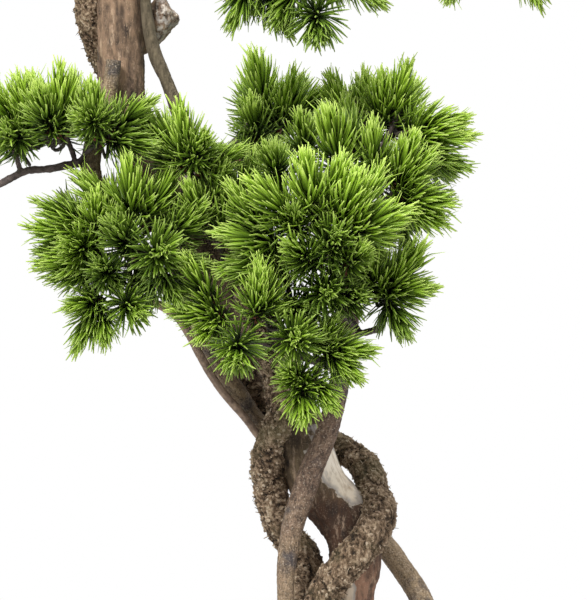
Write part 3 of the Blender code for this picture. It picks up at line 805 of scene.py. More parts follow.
@dataclass
class Liana(Stem):
    """A corky liana: billowed, cracked cork that crumbles into flakes and shreds.

    Attributes:
        smooth_above: the height above which the cork gives way to smooth bark.
        flakes: how many flakes stand on it.
        shreds: how many thin shreds stick out of it.
        handful: how many of them are modelled at a time.
    """

    sides: int = 64
    step: float = 0.0013
    smooth_above: float = 9.0
    flakes: int = 4600
    shreds: int = 1100
    handful: int = 60

    def relief(self, place: Vector, way: Vector, height: float) -> tuple[float, float, float]:
        """Raises billows, crumbs and grains; cracks run between the billows."""
        plain = unit((height - self.smooth_above) / 0.035)
        swell = noise.noise(place * 30.0) * 0.0017
        drawn = Vector((place.x, place.y, place.z * 0.7))
        billow = turbulence(drawn, 105.0, 3)
        crumb = turbulence(place, 430.0, 3)
        grain = noise.noise(place * 800.0)
        crack = max(0.0, 0.16 - abs(noise.noise(drawn * 75.0 + Vector((7.0, 3.0, 1.0))))) / 0.16
        cork = billow * 0.0013 + crumb * 0.0012 + grain * 0.0006 - crack * 0.0012 - 0.0004
        lift = swell + cork * (1.0 - plain) + turbulence(drawn, 260.0, 3) * 0.0003 * plain
        hollow = 0.44 - crumb * 0.38 - billow * 0.20 - grain * 0.25 + crack * 0.30
        return lift + self.knot_lift(way, height), unit(hollow), plain

    def crumbs(self, mesh: bpy.types.Mesh, chance: random.Random) -> None:
        """Strews flakes and shreds over the cork.

        Args:
            mesh: the liana's mesh, which they join.
            chance: the source of their places.
        """
        hollow = np.array([value.value for value in mesh.attributes["hollow"].data])
        bare = np.array([value.value for value in mesh.attributes["bare"].data])
        rooted = np.flatnonzero(bare < 0.3).tolist()
        kinds = [True] * self.flakes + [False] * self.shreds
        handfuls = []
        for start in range(0, len(kinds), self.handful):
            handfuls.append(bpy.data.meshes.new(self.node + "_crumbs"))
            with opened(handfuls[-1]) as bm:
                layer = bm.verts.layers.float.new("hollow")
                bm.verts.layers.float.new("bare")
                for is_flake in kinds[start:start + self.handful]:
                    vertex = mesh.vertices[chance.choice(rooted)]
                    if is_flake:
                        corners = self.flake(bm, vertex, chance)
                        # A flake takes the depth of the bark under it, so the painted shade of the cork's
                        # hollows darkens it as well.
                        tone = hollow[vertex.index] + chance.uniform(-0.40, 0.28)
                    else:
                        corners = self.shred(bm, vertex, chance)
                        tone = chance.choice((0.05, 0.30, 0.55, 0.90))
                    self.worn(corners, layer, tone, chance)
        joined(mesh, handfuls)

    def flake(self, bm: bmesh.types.BMesh, vertex: bpy.types.MeshVertex,
              chance: random.Random) -> list[bmesh.types.BMVert]:
        """Lays one flake on the cork and returns its corners."""
        size = chance.uniform(0.00045, 0.00125)
        shape = (Matrix.Translation((0.0, 0.0, size * 0.25))
                 @ Matrix.Rotation(chance.gauss(0.0, 0.5), 4, "X")
                 @ Matrix.Diagonal((size * chance.uniform(0.8, 1.8), size,
                                    size * chance.uniform(0.3, 0.8), 1.0)))
        return bmesh.ops.create_icosphere(bm, subdivisions=1, radius=1.0,
                                          matrix=self.stood(vertex, chance) @ shape)["verts"]

    def shred(self, bm: bmesh.types.BMesh, vertex: bpy.types.MeshVertex,
              chance: random.Random) -> list[bmesh.types.BMVert]:
        """Sets one thin shred on the cork, leaning out, and returns its corners."""
        length = chance.uniform(0.0018, 0.0048)
        shape = (Matrix.Rotation(chance.uniform(0.30, 1.30), 4, "X")
                 @ Matrix.Translation((0.0, 0.0, length * 0.4)))
        return bmesh.ops.create_cone(bm, cap_ends=True, segments=3, radius1=0.00045, radius2=0.00014,
                                     depth=length, matrix=self.stood(vertex, chance) @ shape)["verts"]

    @staticmethod
    def stood(vertex: bpy.types.MeshVertex, chance: random.Random) -> Matrix:
        """Returns the matrix that stands a piece on a point of the bark, turned by chance."""
        return (Matrix.Translation(vertex.co) @ vertex.normal.to_track_quat("Z", "Y").to_matrix().to_4x4()
                @ Matrix.Rotation(chance.uniform(0.0, FULL_TURN), 4, "Z"))

    @staticmethod
    def worn(corners: list[bmesh.types.BMVert], layer: bmesh.types.BMLayerItem, tone: float,
             chance: random.Random) -> None:
        """Wears a piece's corners a little and gives them their tone."""
        for corner in corners:
            corner[layer] = unit(tone)
            corner.co += Vector([chance.gauss(0.0, 0.00014) for _ in range(3)])


@dataclass
class SmoothStem(Stem):
    """A smooth stem with pebbled bark.

    Attributes:
        tan: heights at which the bark turns from purple-brown to tan, going down.
        tan_share: how tan the whole stem is.
    """

    sides: int = 40
    step: float = 0.0014
    tan: tuple[float, float] = (0.40, 0.30)
    tan_share: float = 0.0

    def relief(self, place: Vector, way: Vector, height: float) -> tuple[float, float, float]:
        """Raises long waves, pebbles and fine rings."""
        wave = noise.noise(place * 34.0) * 0.0007
        pebble = turbulence(Vector((place.x, place.y, place.z * 1.5)), 330.0, 3)
        grain = turbulence(place, 700.0, 2)
        high, low = self.tan
        tan = unit((high - height) / (high - low) + noise.noise(place * 60.0) * 0.35)
        lift = wave + pebble * 0.00035 + grain * 0.00012 + self.knot_lift(way, height)
        return lift, unit(0.45 - pebble * 0.7), max(self.tan_share, tan)


@dataclass
class RoughCopy:
    """A branch or thin stem: the frame node's own shape, evened out and given bark.

    Attributes:
        node: its frame node.
        cell: the size of its faces.
        swell: how far the bark rises and falls.
        seed: moves its noise.
        nudges: pushes on its line.
    """

    node: str
    cell: float = 0.0009
    swell: float = 0.0006
    seed: float = 0.0
    nudges: tuple[Nudge, ...] = ()

    def make(self, name: str) -> bpy.types.Mesh:
        """Builds the mesh; it carries "hollow" and "bare"."""
        mesh = remeshed(merged_copy(self.node, name + "_base"), self.cell, 4)
        mesh.name = name
        places = nudged(points_of(mesh), self.nudges)
        normals = np.array([vertex.normal for vertex in mesh.vertices])
        hollow = np.zeros(len(places))
        for index, row in enumerate(places):
            place = Vector(row) + Vector((self.seed, 0.0, -self.seed))
            broad, fine = turbulence(place, 95.0, 3), turbulence(place, 380.0, 3)
            hollow[index] = unit(0.45 - fine * 0.7)
            places[index] += normals[index] * self.swell * (broad + fine * 0.5 + 0.4)
        barked(mesh, places, hollow, np.full(len(places), 0.35))
        mesh.shade_smooth()
        return mesh


# ---------------------------------------------------------------- needles


@dataclass(frozen=True)
class Tuft:
    """One tuft of needles.

    Attributes:
        offset: its foot, in millimetres from the middle of its spray.
        aim: the way it points; -Y is the front.
        size: its size against the common tuft.
        tone: 0 for old, dark needles to 1 for young, bright ones; it holds painted light as well, with
            tufts that face the light set brighter and undersides darker.
    """

    offset: Place
    aim: Place
    size: float
    tone: float


@dataclass
class TuftPattern:
    """The common tuft: whorls of needles up a short shoot, wide open below and nearly shut on top.

    Attributes:
        shoot: the shoot's length.
        whorls: how many whorls stand on it.
        around: how many needles a whorl has.
        wide: how far the lowest needles lean out, in degrees.
        narrow: how far the topmost needles lean out.
        needle: a needle's length.
        half_width: half a needle's width.
        half_thick: half its thickness.
        curls: how far needles' tips lean in, as shares of their length.
        bends: where along it a needle bends, as shares of its length.
    """

    shoot: float = 0.021
    whorls: int = 9
    around: int = 16
    wide: float = 94.0
    narrow: float = 8.0
    needle: float = 0.031
    half_width: float = 0.00105
    half_thick: float = 0.00048
    curls: tuple[float, ...] = (0.16, 0.28, 0.42)
    bends: tuple[float, float] = (0.36, 0.74)

    def one_needle(self, curl: float) -> bpy.types.Mesh:
        """Models one needle that stands on the origin and curls in towards -X.

        Args:
            curl: how far its tip leans in, as a share of its length.

        Returns:
            The needle, with its length across its map.
        """
        mesh = bpy.data.meshes.new("needle")
        with opened(mesh) as bm:
            bmesh.ops.create_cone(bm, cap_ends=True, segments=4, radius1=1.0, radius2=1.0, depth=1.0,
                                  matrix=Matrix.Translation((0.0, 0.0, 0.5)))
            for height in self.bends:
                bmesh.ops.bisect_plane(bm, geom=bm.verts[:] + bm.edges[:] + bm.faces[:],
                                       plane_co=(0.0, 0.0, height), plane_no=(0.0, 0.0, 1.0))
            layer = bm.loops.layers.uv.new(NEEDLE_MAP)
            for face in bm.faces:
                for loop in face.loops:
                    x, y, z = loop.vert.co
                    loop[layer].uv = (0.004 + 0.99 * z + 0.003 * x, 0.006 + 0.004 * y)
            for vertex in bm.verts:
                height = vertex.co.z
                girth = np.interp(height, (0.0, *self.bends, 1.0), (0.60, 1.0, 0.95, 0.34))
                vertex.co.x = vertex.co.x * self.half_thick * girth - curl * self.needle * height ** 2
                vertex.co.y *= self.half_width * girth
                vertex.co.z = height * self.needle * (1.0 - 0.18 * curl * height)
        mesh.shade_smooth()
        return mesh

    def make(self, chance: random.Random) -> bpy.types.Mesh:
        """Builds a tuft that stands on the origin and points up.

        Args:
            chance: the source of its unevenness.

        Returns:
            The tuft; its map holds each needle's length and shade.
        """
        needles = [self.one_needle(curl) for curl in self.curls]
        mesh = bpy.data.meshes.new("tuft")
        with opened(mesh) as bm:
            layer = bm.loops.layers.uv.new(NEEDLE_MAP)
            turn = 0.0
            for whorl in range(self.whorls):
                share = whorl / (self.whorls - 1)
                count = self.around if share < 0.8 else self.around - 4
                for _ in range(count):
                    turn += FULL_TURN / count + chance.gauss(0.0, 0.14)
                    lean = self.wide + (self.narrow - self.wide) * share ** 0.85 + chance.gauss(0.0, 6.0)
                    size = (0.90 + 0.16 * share) * chance.uniform(0.84, 1.10)
                    foot = Vector((0.0, 0.0, self.shoot * (share + chance.uniform(-0.06, 0.06))))
                    matrix = (Matrix.Translation(foot) @ Matrix.Rotation(turn, 4, "Z")
                              @ Matrix.Rotation(math.radians(lean), 4, "Y")
                              @ Matrix.Translation((0.0, 0.0, 0.0008))
                              @ Matrix.Rotation(chance.gauss(0.0, 0.35), 4, "Z") @ Matrix.Scale(size, 4))
                    # Upper whorls are set brighter: partly younger needles, partly painted light from
                    # above.
                    shade = 0.22 * share + chance.uniform(0.0, 0.12)
                    self.add(bm, chance.choice(needles), matrix, layer, shade)
                turn += 0.7
        return mesh

    def add(self, bm: bmesh.types.BMesh, needle: bpy.types.Mesh, matrix: Matrix,
            layer: bmesh.types.BMLayerItem, shade: float) -> None:
        """Joins one needle to a tuft at a place and gives it its shade."""
        start_verts, start_faces = len(bm.verts), len(bm.faces)
        bm.from_mesh(needle)
        bm.verts.ensure_lookup_table()
        bm.faces.ensure_lookup_table()
        bmesh.ops.transform(bm, matrix=matrix, verts=bm.verts[start_verts:])
        for face in bm.faces[start_faces:]:
            face.smooth = True
            for loop in face.loops:
                loop[layer].uv.y += shade


@dataclass
class Spray:
    """A spray: several tufts of needles that stand round one heart.

    Attributes:
        node: its frame node.
        tufts: its tufts; where there are none, they are set by rule.
        common: the tone of tufts that are set by rule.
        count: how many are set by rule.
        margin: how far inside the frame node they stand, sideways and upwards.
        sunk: how far they are lowered, to make up for their height.
    """

    node: str
    tufts: tuple[Tuft, ...] = ()
    common: float = 0.8
    count: int = 7
    margin: tuple[float, float] = (0.036, 0.042)
    sunk: float = 0.010

    def corners(self) -> tuple[Vector, Vector]:
        """Returns the lowest and highest corner of its frame node."""
        low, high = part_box(self.node)
        return Vector(low), Vector(high)

    def by_rule(self, chance: random.Random) -> tuple[Tuft, ...]:
        """Sets tufts evenly over the upper half of the spray."""
        low, high = self.corners()
        across, up = self.margin
        half = (high - low) / 2 - Vector((across, across, up))
        room = Vector([max(0.0, length) for length in half])
        made = []
        start = chance.uniform(0.0, 6.28)
        for number in range(self.count):
            rise = 0.95 - 1.15 * number / max(1, self.count - 1)
            flat = math.sqrt(max(0.0, 1.0 - rise * rise))
            turn = start + number * GOLDEN_TURN
            aim = Vector((flat * math.cos(turn), flat * math.sin(turn), rise))
            foot = aim * room - Vector((0.0, 0.0, self.sunk))
            # Tufts that point up get a higher tone: partly young growth, partly painted light from above.
            made.append(Tuft(tuple(foot / MM), tuple(aim), chance.uniform(0.9, 1.08),
                             self.common * (0.72 + 0.28 * max(0.0, rise))))
        return tuple(made)

    def backed(self, chance: random.Random) -> tuple[Tuft, ...]:
        """Sets a thinner, older tuft behind each of the spray's own.

        Args:
            chance: the source of their places.
        """
        made = []
        for tuft in self.tufts:
            shift = Vector((chance.uniform(-7.0, 7.0), chance.uniform(10.0, 18.0),
                            chance.uniform(-8.0, 2.0)))
            aim = (Vector(tuft.aim).normalized() * 0.8
                   + Vector((chance.uniform(-0.5, 0.5), 0.55, chance.uniform(-0.3, 0.4))))
            made.append(Tuft(tuple(Vector(tuft.offset) + shift), tuple(aim.normalized()),
                             tuft.size * 0.82, tuft.tone * 0.45))
        return tuple(made)

    def feet(self) -> list[Vector]:
        """Returns where its tufts stand."""
        low, high = self.corners()
        middle = (low + high) / 2
        return [middle + Vector(tuft.offset) * MM for tuft in self.tufts]

    def make(self, name: str, patterns: list[bpy.types.Mesh], chance: random.Random) -> bpy.types.Mesh:
        """Builds the spray out of tuft patterns.

        Args:
            name: the mesh's name.
            patterns: tufts that stand on the origin.
            chance: the source of the choice among them.

        Returns:
            The mesh, with each tuft's tone on its map, and painted light from above on it: needle points
            are brighter high on a tuft and darker low on it.
        """
        mesh = bpy.data.meshes.new(name)
        tones, heights = [], []
        with opened(mesh) as bm:
            bm.loops.layers.uv.new(NEEDLE_MAP)
            for tuft, foot in zip(self.tufts, self.feet()):
                pattern = chance.choice(patterns)
                start = len(bm.verts)
                bm.from_mesh(pattern)
                bm.verts.ensure_lookup_table()
                aim = Vector(tuft.aim).normalized().to_track_quat("Z", "Y").to_matrix().to_4x4()
                matrix = (Matrix.Translation(foot) @ aim
                          @ Matrix.Rotation(chance.uniform(0.0, FULL_TURN), 4, "Z")
                          @ Matrix.Scale(tuft.size, 4))
                bmesh.ops.transform(bm, matrix=matrix, verts=bm.verts[start:])
                heights.extend((vertex.co.z - foot.z) / TUFT_HEIGHT for vertex in bm.verts[start:])
                tones.append(np.full(len(pattern.loops), 0.48 * tuft.tone + 0.06))
        corners = np.empty(len(mesh.loops), dtype=np.int32)
        mesh.loops.foreach_get("vertex_index", corners)
        # Painted light from above: a needle point is brightened the higher it stands over its tuft's foot,
        # and darkened below it.
        tones = np.concatenate(tones) + 0.12 * np.clip(np.array(heights), -0.5, 1.0)[corners]
        layer = mesh.uv_layers[NEEDLE_MAP]
        flat = np.empty(len(tones) * 2, dtype=np.float32)
        layer.data.foreach_get("uv", flat)
        flat[1::2] += tones
        layer.data.foreach_set("uv", flat)
        return mesh


SPRAYS: dict[str, tuple[Tuft, ...]] = {
    "needles_left_far": (
        Tuft((24, -8, -18), (-0.25, -0.35, 0.88), 1.06, 0.8),
        Tuft((16, -12, -14), (-0.70, -0.4, 0.50), 1.1, 0.85),
        Tuft((11, 8, -23), (-0.45, 0.2, 0.8), 1.05, 0.7),
        Tuft((-3, 0, -21), (-0.25, -0.2, 0.92), 1.03, 0.75),
        Tuft((12, -16, -22), (-0.2, -0.9, 0.1), 0.9, 0.3),
    ),
    "needles_left_near": (
        Tuft((1, -6, -26), (0.02, -0.3, 0.95), 1.12, 0.9),
        Tuft((-5, -14, -22), (-0.2, -0.7, 0.6), 0.95, 0.5),
        Tuft((7, 4, -24), (0.12, 0.0, 0.95), 0.95, 0.75),
        Tuft((-11, 6, -26), (-0.25, 0.1, 0.93), 1.0, 0.8),
    ),
    "needles_left_inner": (
        Tuft((-12, -2, -14), (-0.05, -0.45, 0.9), 0.95, 0.45),
        Tuft((3, -2, -10), (0.7, -0.4, 0.5), 0.9, 0.45),
        Tuft((0, 0, -18), (0.8, -0.5, -0.1), 0.9, 0.35),
        Tuft((-10, -10, -5), (-0.3, -0.9, 0.2), 0.8, 0.5),
    ),
    "needles_mid_left_top": (
        Tuft((-2, -4, -23), (-0.1, -0.3, 0.95), 1.05, 0.75),
        Tuft((10, -4, -28), (0.75, -0.3, 0.42), 0.86, 0.5),
        Tuft((-10, 6, -15), (-0.6, -0.1, 0.78), 1.02, 0.7),
        Tuft((5, -10, -17), (0.2, -0.85, 0.4), 0.85, 0.5),
    ),
    "needles_mid_left": (
        Tuft((1, 0, -29), (0.05, -0.2, 0.97), 0.95, 0.4),
        Tuft((11, 4, -2), (0.35, -0.1, 0.9), 0.9, 0.35),
        Tuft((-14, -4, -17), (-0.3, -0.5, 0.8), 0.85, 0.5),
        Tuft((-8, -2, -1), (0.3, -0.3, 0.9), 0.8, 0.5),
    ),
    "needles_low_left_top": (
        Tuft((-4, -6, -21), (0, -0.35, 0.95), 1.1, 0.85),
        Tuft((7, -2, -21), (0.5, -0.2, 0.85), 1, 0.7),
        Tuft((-14, 6, -17), (-0.68, 0.1, 0.72), 1.02, 0.6),
    ),
    "needles_low_left_out": (
        Tuft((18, 2, 10), (-0.80, -0.2, 0.36), 0.92, 0.5),
        Tuft((18, -4, 0), (-0.95, -0.3, 0.15), 1.0, 0.75),
        Tuft((27, -14, 4), (0, -0.6, 0.8), 0.8, 1),
        Tuft((23, -4, -18), (-0.9, -0.35, -0.12), 1.02, 0.85),
        Tuft((24, 0, -23), (-0.85, -0.4, -0.3), 0.84, 0.4),
        Tuft((18, -12, -10), (-0.4, -0.9, 0.1), 0.9, 0.6),
    ),
    "needles_low_left_star": (
        Tuft((0, -6, 2), (0.15, -0.95, 0.05), 1.05, 0.35),
        Tuft((-22, 4, 9), (-0.2, -0.6, 0.3), 0.9, 0.15),
        Tuft((-36, 8, -12), (-0.2, -0.75, 0.1), 0.78, 0.1),
        Tuft((12, 4, 16), (0.6, -0.5, 0.55), 0.9, 0.4),
        Tuft((6, 0, -12), (0.3, -0.6, -0.6), 0.85, 0.3),
    ),
    "needles_drop_left": (
        Tuft((10, 0, 12), (-0.35, -0.4, -0.8), 0.92, 0.8),
        Tuft((12, -8, 15), (-0.6, -0.7, -0.1), 0.78, 0.7),
        Tuft((14, -4, 9), (0.1, -0.6, -0.75), 0.78, 0.75),
    ),
    "needles_drop_right": (
        Tuft((1, -8, 0), (0.25, -0.9, -0.2), 0.95, 0.5),
        Tuft((5, 2, 8), (0.3, -0.3, 0.6), 0.75, 0.3),
    ),
    "needles_back_top": (
        Tuft((-1, 0, -17), (-0.13, -0.2, 0.97), 1.09, 0.55),
        Tuft((12, -2, -27), (0.26, -0.2, 0.9), 1.0, 0.55),
        Tuft((18, -4, -23), (0.7, -0.4, 0.55), 1.02, 0.5),
        Tuft((-7, -10, -37), (-0.1, -0.5, 0.8), 0.85, 0.35),
        Tuft((-20, -14, -54), (0.9, -0.4, 0.2), 0.95, 0.2),
        Tuft((0, 10, -18), (0, 0.8, 0.5), 1, 0.6),
    ),
    "needles_right_top_left": (
        Tuft((-1, -6, -27), (-0.32, -0.3, 0.88), 0.93, 0.6),
        Tuft((10, 0, -30), (0.05, 0, 1), 0.94, 0.6),
        Tuft((1, 8, -27), (-0.2, 0.7, 0.6), 0.95, 0.5),
    ),
    "needles_right_top": (
        Tuft((-23, -6, -29), (0, -0.3, 0.95), 0.98, 0.7),
        Tuft((-13, -8, -23), (0.26, -0.3, 0.9), 1.06, 0.95),
        Tuft((-8, 8, -25), (0.3, 0.6, 0.7), 1, 0.7),
    ),
    "needles_right_out": (
        Tuft((-30, -6, 3), (0.9, -0.35, 0.22), 1.0, 0.95),
        Tuft((-28, -10, -4), (0.95, -0.3, 0.05), 1.03, 1),
        Tuft((-28, -8, -14), (0.9, -0.4, -0.27), 1.0, 0.4),
        Tuft((-26, 6, 0), (0.7, 0.6, 0.2), 1, 0.7),
    ),
    "needles_right_mid": (
        Tuft((-20, -6, -20), (-0.15, -0.3, 0.93), 1.1, 0.75),
        Tuft((8, -6, -24), (0, -0.3, 0.95), 0.95, 0.65),
        Tuft((25, -4, -31), (0.35, -0.3, 0.9), 0.95, 0.8),
        Tuft((-10, 4, -2), (-0.1, 0.3, 0.9), 0.9, 0.5),
        Tuft((-46, 10, -8), (-0.1, -0.5, 0.6), 0.9, 0.3),
    ),
    "needles_right_low_out": (
        Tuft((-22, -4, 5), (0.8, -0.55, -0.1), 1.0, 0.8),
        Tuft((-24, -2, 14), (0.6, -0.3, 0.6), 0.9, 0.75),
        Tuft((-22, -2, 0), (0.8, -0.4, -0.36), 0.9, 0.9),
        Tuft((-22, 8, 1), (0.6, 0.7, 0), 1, 0.6),
    ),
    "needles_front_left": (
        Tuft((10, -4, 1), (-0.95, -0.35, 0.15), 1.1, 0.65),
        Tuft((7, -2, -14), (-0.95, -0.3, -0.15), 1, 0.5),
        Tuft((-4, 2, 10), (-0.5, -0.3, 0.75), 0.95, 0.6),
    ),
    "needles_front_top": (
        Tuft((2, -8, -26), (-0.1, -0.4, 0.9), 1.15, 1),
        Tuft((-14, -6, -28), (-0.65, -0.4, 0.65), 1.05, 0.85),
        Tuft((13, -2, -22), (0.3, -0.3, 0.9), 1, 0.9),
        Tuft((-24, 14, 6), (-0.2, -0.6, 0.5), 0.85, 0.3),
    ),
    "needles_front_right": (
        Tuft((-20, -8, -9), (0.3, -0.5, 0.8), 1.1, 1),
        Tuft((-14, -6, -15), (0.85, -0.4, 0.35), 1.15, 0.95),
        Tuft((-10, 2, -4), (0.5, -0.1, 0.85), 1, 0.9),
    ),
    "needles_front_star": (
        Tuft((2, 10, 8), (0.1, -0.9, 0.25), 1, 0.15),
        Tuft((15, 4, -4), (0.4, -0.7, 0.4), 0.7, 0.6),
        Tuft((-26, 14, 22), (0.0, -0.7, 0.4), 0.8, 0.2),
        Tuft((-14, 10, -1), (-0.4, -0.8, 0.3), 0.9, 0.5),
    ),
    "needles_centre_low": (
        Tuft((-10, -6, 3), (0.1, -0.9, -0.05), 1.05, 0.1),
        Tuft((-38, 0, 6), (-0.3, -0.5, 0.8), 0.8, 0.55),
        Tuft((-33, 8, -7), (-0.1, -0.85, -0.1), 0.92, 0.2),
        Tuft((-20, 12, -10), (0.0, -0.8, 0.0), 0.85, 0.1),
        Tuft((0, 14, 20), (0.0, -0.7, 0.3), 0.85, 0.1),
        Tuft((7, -2, -1), (0.35, -0.8, 0.0), 0.82, 0.15),
    ),
    "needles_right_low": (
        Tuft((-20, -8, -8), (-0.1, -0.35, 0.93), 1.04, 0.6),
        Tuft((-12, -8, -5), (0.6, -0.35, 0.75), 1.04, 0.8),
        Tuft((-12, -8, -6), (0.85, -0.5, 0.08), 0.92, 0.75),
        Tuft((-12, -6, -12), (0.36, -0.6, -0.60), 0.92, 0.3),
        Tuft((-26, -10, 2), (-0.3, -0.6, 0.75), 0.85, 0.7),
        Tuft((-14, 8, -2), (0.3, 0.7, 0.5), 0.95, 0.5),
    ),
    "needles_low_out": (
        Tuft((8, -6, -2), (-0.9, -0.45, 0.1), 0.90, 1),
        Tuft((3, -4, 7), (-0.5, -0.35, 0.78), 1, 0.85),
        Tuft((11, -4, -6), (-0.45, -0.7, -0.35), 0.8, 0.9),
    ),
    "needles_low_star": (
        Tuft((2, 3, 4), (-0.05, -0.9, -0.3), 1.02, 0.5),
        Tuft((15, 0, 24), (0.1, -0.5, 0.8), 0.9, 0.7),
    ),
    "needles_low_mid": (
        Tuft((-2, 3, -2), (0.05, -0.93, 0), 1.02, 0.5),
        Tuft((-23, 2, 22), (-0.1, -0.5, 0.85), 0.9, 0.75),
    ),
    "needles_low_right": (
        Tuft((-15, -6, 9), (0.8, -0.55, 0.0), 0.90, 0.6),
        Tuft((-20, -4, 13), (0.3, -0.6, 0.5), 0.72, 0.25),
        Tuft((-15, -6, 5), (0.6, -0.65, -0.42), 0.88, 0.7),
    ),
    "needles_front_drop": (
        Tuft((-2, -8, 13), (0, -0.75, -0.6), 0.95, 1),
        Tuft((-4, -2, 19), (-0.3, -0.8, 0.1), 0.8, 0.6),
        Tuft((6, -2, 16), (0.42, -0.6, -0.5), 0.80, 0.95),
    ),
    "needles_hang_left": (
        Tuft((5, 0, 12), (-0.3, -0.4, -0.8), 0.95, 0.6),
        Tuft((10, 0, 20), (-0.75, -0.3, 0.1), 0.95, 0.6),
        Tuft((17, 2, 6), (0.4, -0.4, -0.7), 0.95, 0.6),
        Tuft((9, 12, 16), (0, 0.8, -0.2), 1, 0.5),
    ),
    "needles_hang_mid": (
        Tuft((-11, -10, -12), (0, -0.85, -0.5), 1.04, 0.35),
        Tuft((-25, 0, 8), (-0.4, -0.5, -0.6), 0.95, 0.5),
        Tuft((9, 0, 20), (0.55, -0.4, -0.45), 1.0, 0.5),
        Tuft((0, 10, 14), (0.2, 0.7, 0.1), 1, 0.6),
    ),
    "needles_hang_far": (
        Tuft((-32, 0, 11), (-0.3, -0.5, -0.75), 0.9, 0.7),
        Tuft((14, 0, 9), (0.3, -0.4, -0.8), 0.9, 0.8),
        Tuft((-2, 4, 14), (0, -0.3, 0.7), 1, 0.8),
    ),
}


@dataclass
class Shoots:
    """The thin shoots that carry the tufts, and the ferrules that each tuft is set in.

    Attributes:
        girth: a shoot's radius at its foot.
        tip: its radius under its tuft.
        ferrule: a ferrule's radius.
        outline: places along a ferrule and its girth there, as shares of its radius.
    """

    girth: float = 0.0019
    tip: float = 0.0013
    ferrule: float = 0.0021
    outline: tuple[tuple[float, float], ...] = (
        (-0.0045, 0.55), (-0.0040, 0.95), (-0.0010, 1.0), (0.0012, 0.92), (0.0018, 0.5))

    def make(self, sprays: list[Spray], hosts: list[str],
             chance: random.Random) -> tuple[bpy.types.Mesh, bpy.types.Mesh]:
        """Builds every shoot and every ferrule.

        Args:
            sprays: the sprays they carry.
            hosts: the frame nodes of the branches they grow from.
            chance: the source of their bends.

        Returns:
            The mesh of the shoots and the mesh of the ferrules.
        """
        spots = [vertex.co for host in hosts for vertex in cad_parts[host].data.vertices]
        tree = kdtree.KDTree(len(spots))
        for index, spot in enumerate(spots):
            tree.insert(spot, index)
        tree.balance()
        shoots, ferrules = [], []
        for spray in sprays:
            feet = spray.feet()
            heart = tree.find(sum(feet, Vector()) / len(feet))[0]
            for tuft, foot in zip(spray.tufts, feet):
                aim = Vector(tuft.aim).normalized()
                low = foot - aim * 0.003
                lead = low - aim * min(0.02, (low - heart).length * 0.5)
                bend = heart.lerp(lead, 0.5) + Vector([chance.gauss(0.0, 0.0015) for _ in range(3)])
                rows = [(*heart, self.girth), (*bend, self.girth * 0.95), (*lead, self.tip * 1.1),
                        (*foot, self.tip), (*(foot + aim * 0.014 * tuft.size), self.tip * 0.5)]
                shoots.append(smooth_line(np.array(rows), 0.003))
                ferrules.append(np.array([(*(foot + aim * along), self.ferrule * share)
                                          for along, share in self.outline]))
        return swept("shoots", shoots, 8, capped=True), swept("ferrules", ferrules, 10, capped=True)


# ---------------------------------------------------------------- pot and soil


@dataclass
class Pot:
    """The round stoneware pot: a spun wall with a collar, a rolled lip and a foot ring.

    Attributes:
        node: its frame node.
        wall: the wall's thickness.
        collar: how high the collar is.
        foot: the foot ring's height.
        steps: how many steps its spin has.
    """

    node: str = "pot"
    wall: float = 0.006
    collar: float = 0.016
    foot: float = 0.004
    steps: int = 144

    def make(self) -> bpy.types.Mesh:
        """Spins the pot's outline round its axis."""
        rim, _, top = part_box(self.node)[1]
        base = min(0.108, rim)
        body = rim - 0.004
        outline = [
            (0.0, self.foot), (base - 0.016, self.foot), (base - 0.014, 0.0), (base - 0.003, 0.0),
            (base, 0.0035), (base + (body - base) * 0.40, 0.045), (base + (body - base) * 0.78, 0.094),
            (body - 0.0005, top - self.collar - 0.0022), (body, top - self.collar),
            (rim, top - self.collar + 0.0020), (rim, top - 0.0035), (rim - 0.0035, top),
            (rim - self.wall - 0.002, top), (body - self.wall - 0.001, top - 0.004),
            (body - self.wall - 0.001, top - self.collar - 0.004),
            (base + (body - base) * 0.40 - self.wall, 0.045), (base - self.wall, 0.012),
            (base - self.wall - 0.004, 0.008), (0.0, 0.008)]
        mesh = bpy.data.meshes.new("pot_body")
        with opened(mesh) as bm:
            verts = [bm.verts.new((x, 0.0, z)) for x, z in outline]
            for pair in zip(verts, verts[1:]):
                bm.edges.new(pair)
            bmesh.ops.bevel(bm, geom=verts[1:-1], affect="VERTICES", offset=0.0011, offset_type="OFFSET",
                            segments=3, profile=0.5, material=-1)
            bmesh.ops.spin(bm, geom=bm.verts[:] + bm.edges[:], cent=(0, 0, 0), axis=(0, 0, 1),
                           dvec=(0, 0, 0), angle=FULL_TURN, steps=self.steps, use_merge=True,
                           use_duplicate=False)
            bmesh.ops.remove_doubles(bm, verts=bm.verts[:], dist=2 * WELD)
            bmesh.ops.recalc_face_normals(bm, faces=bm.faces[:])
        mesh.shade_smooth()
        return mesh


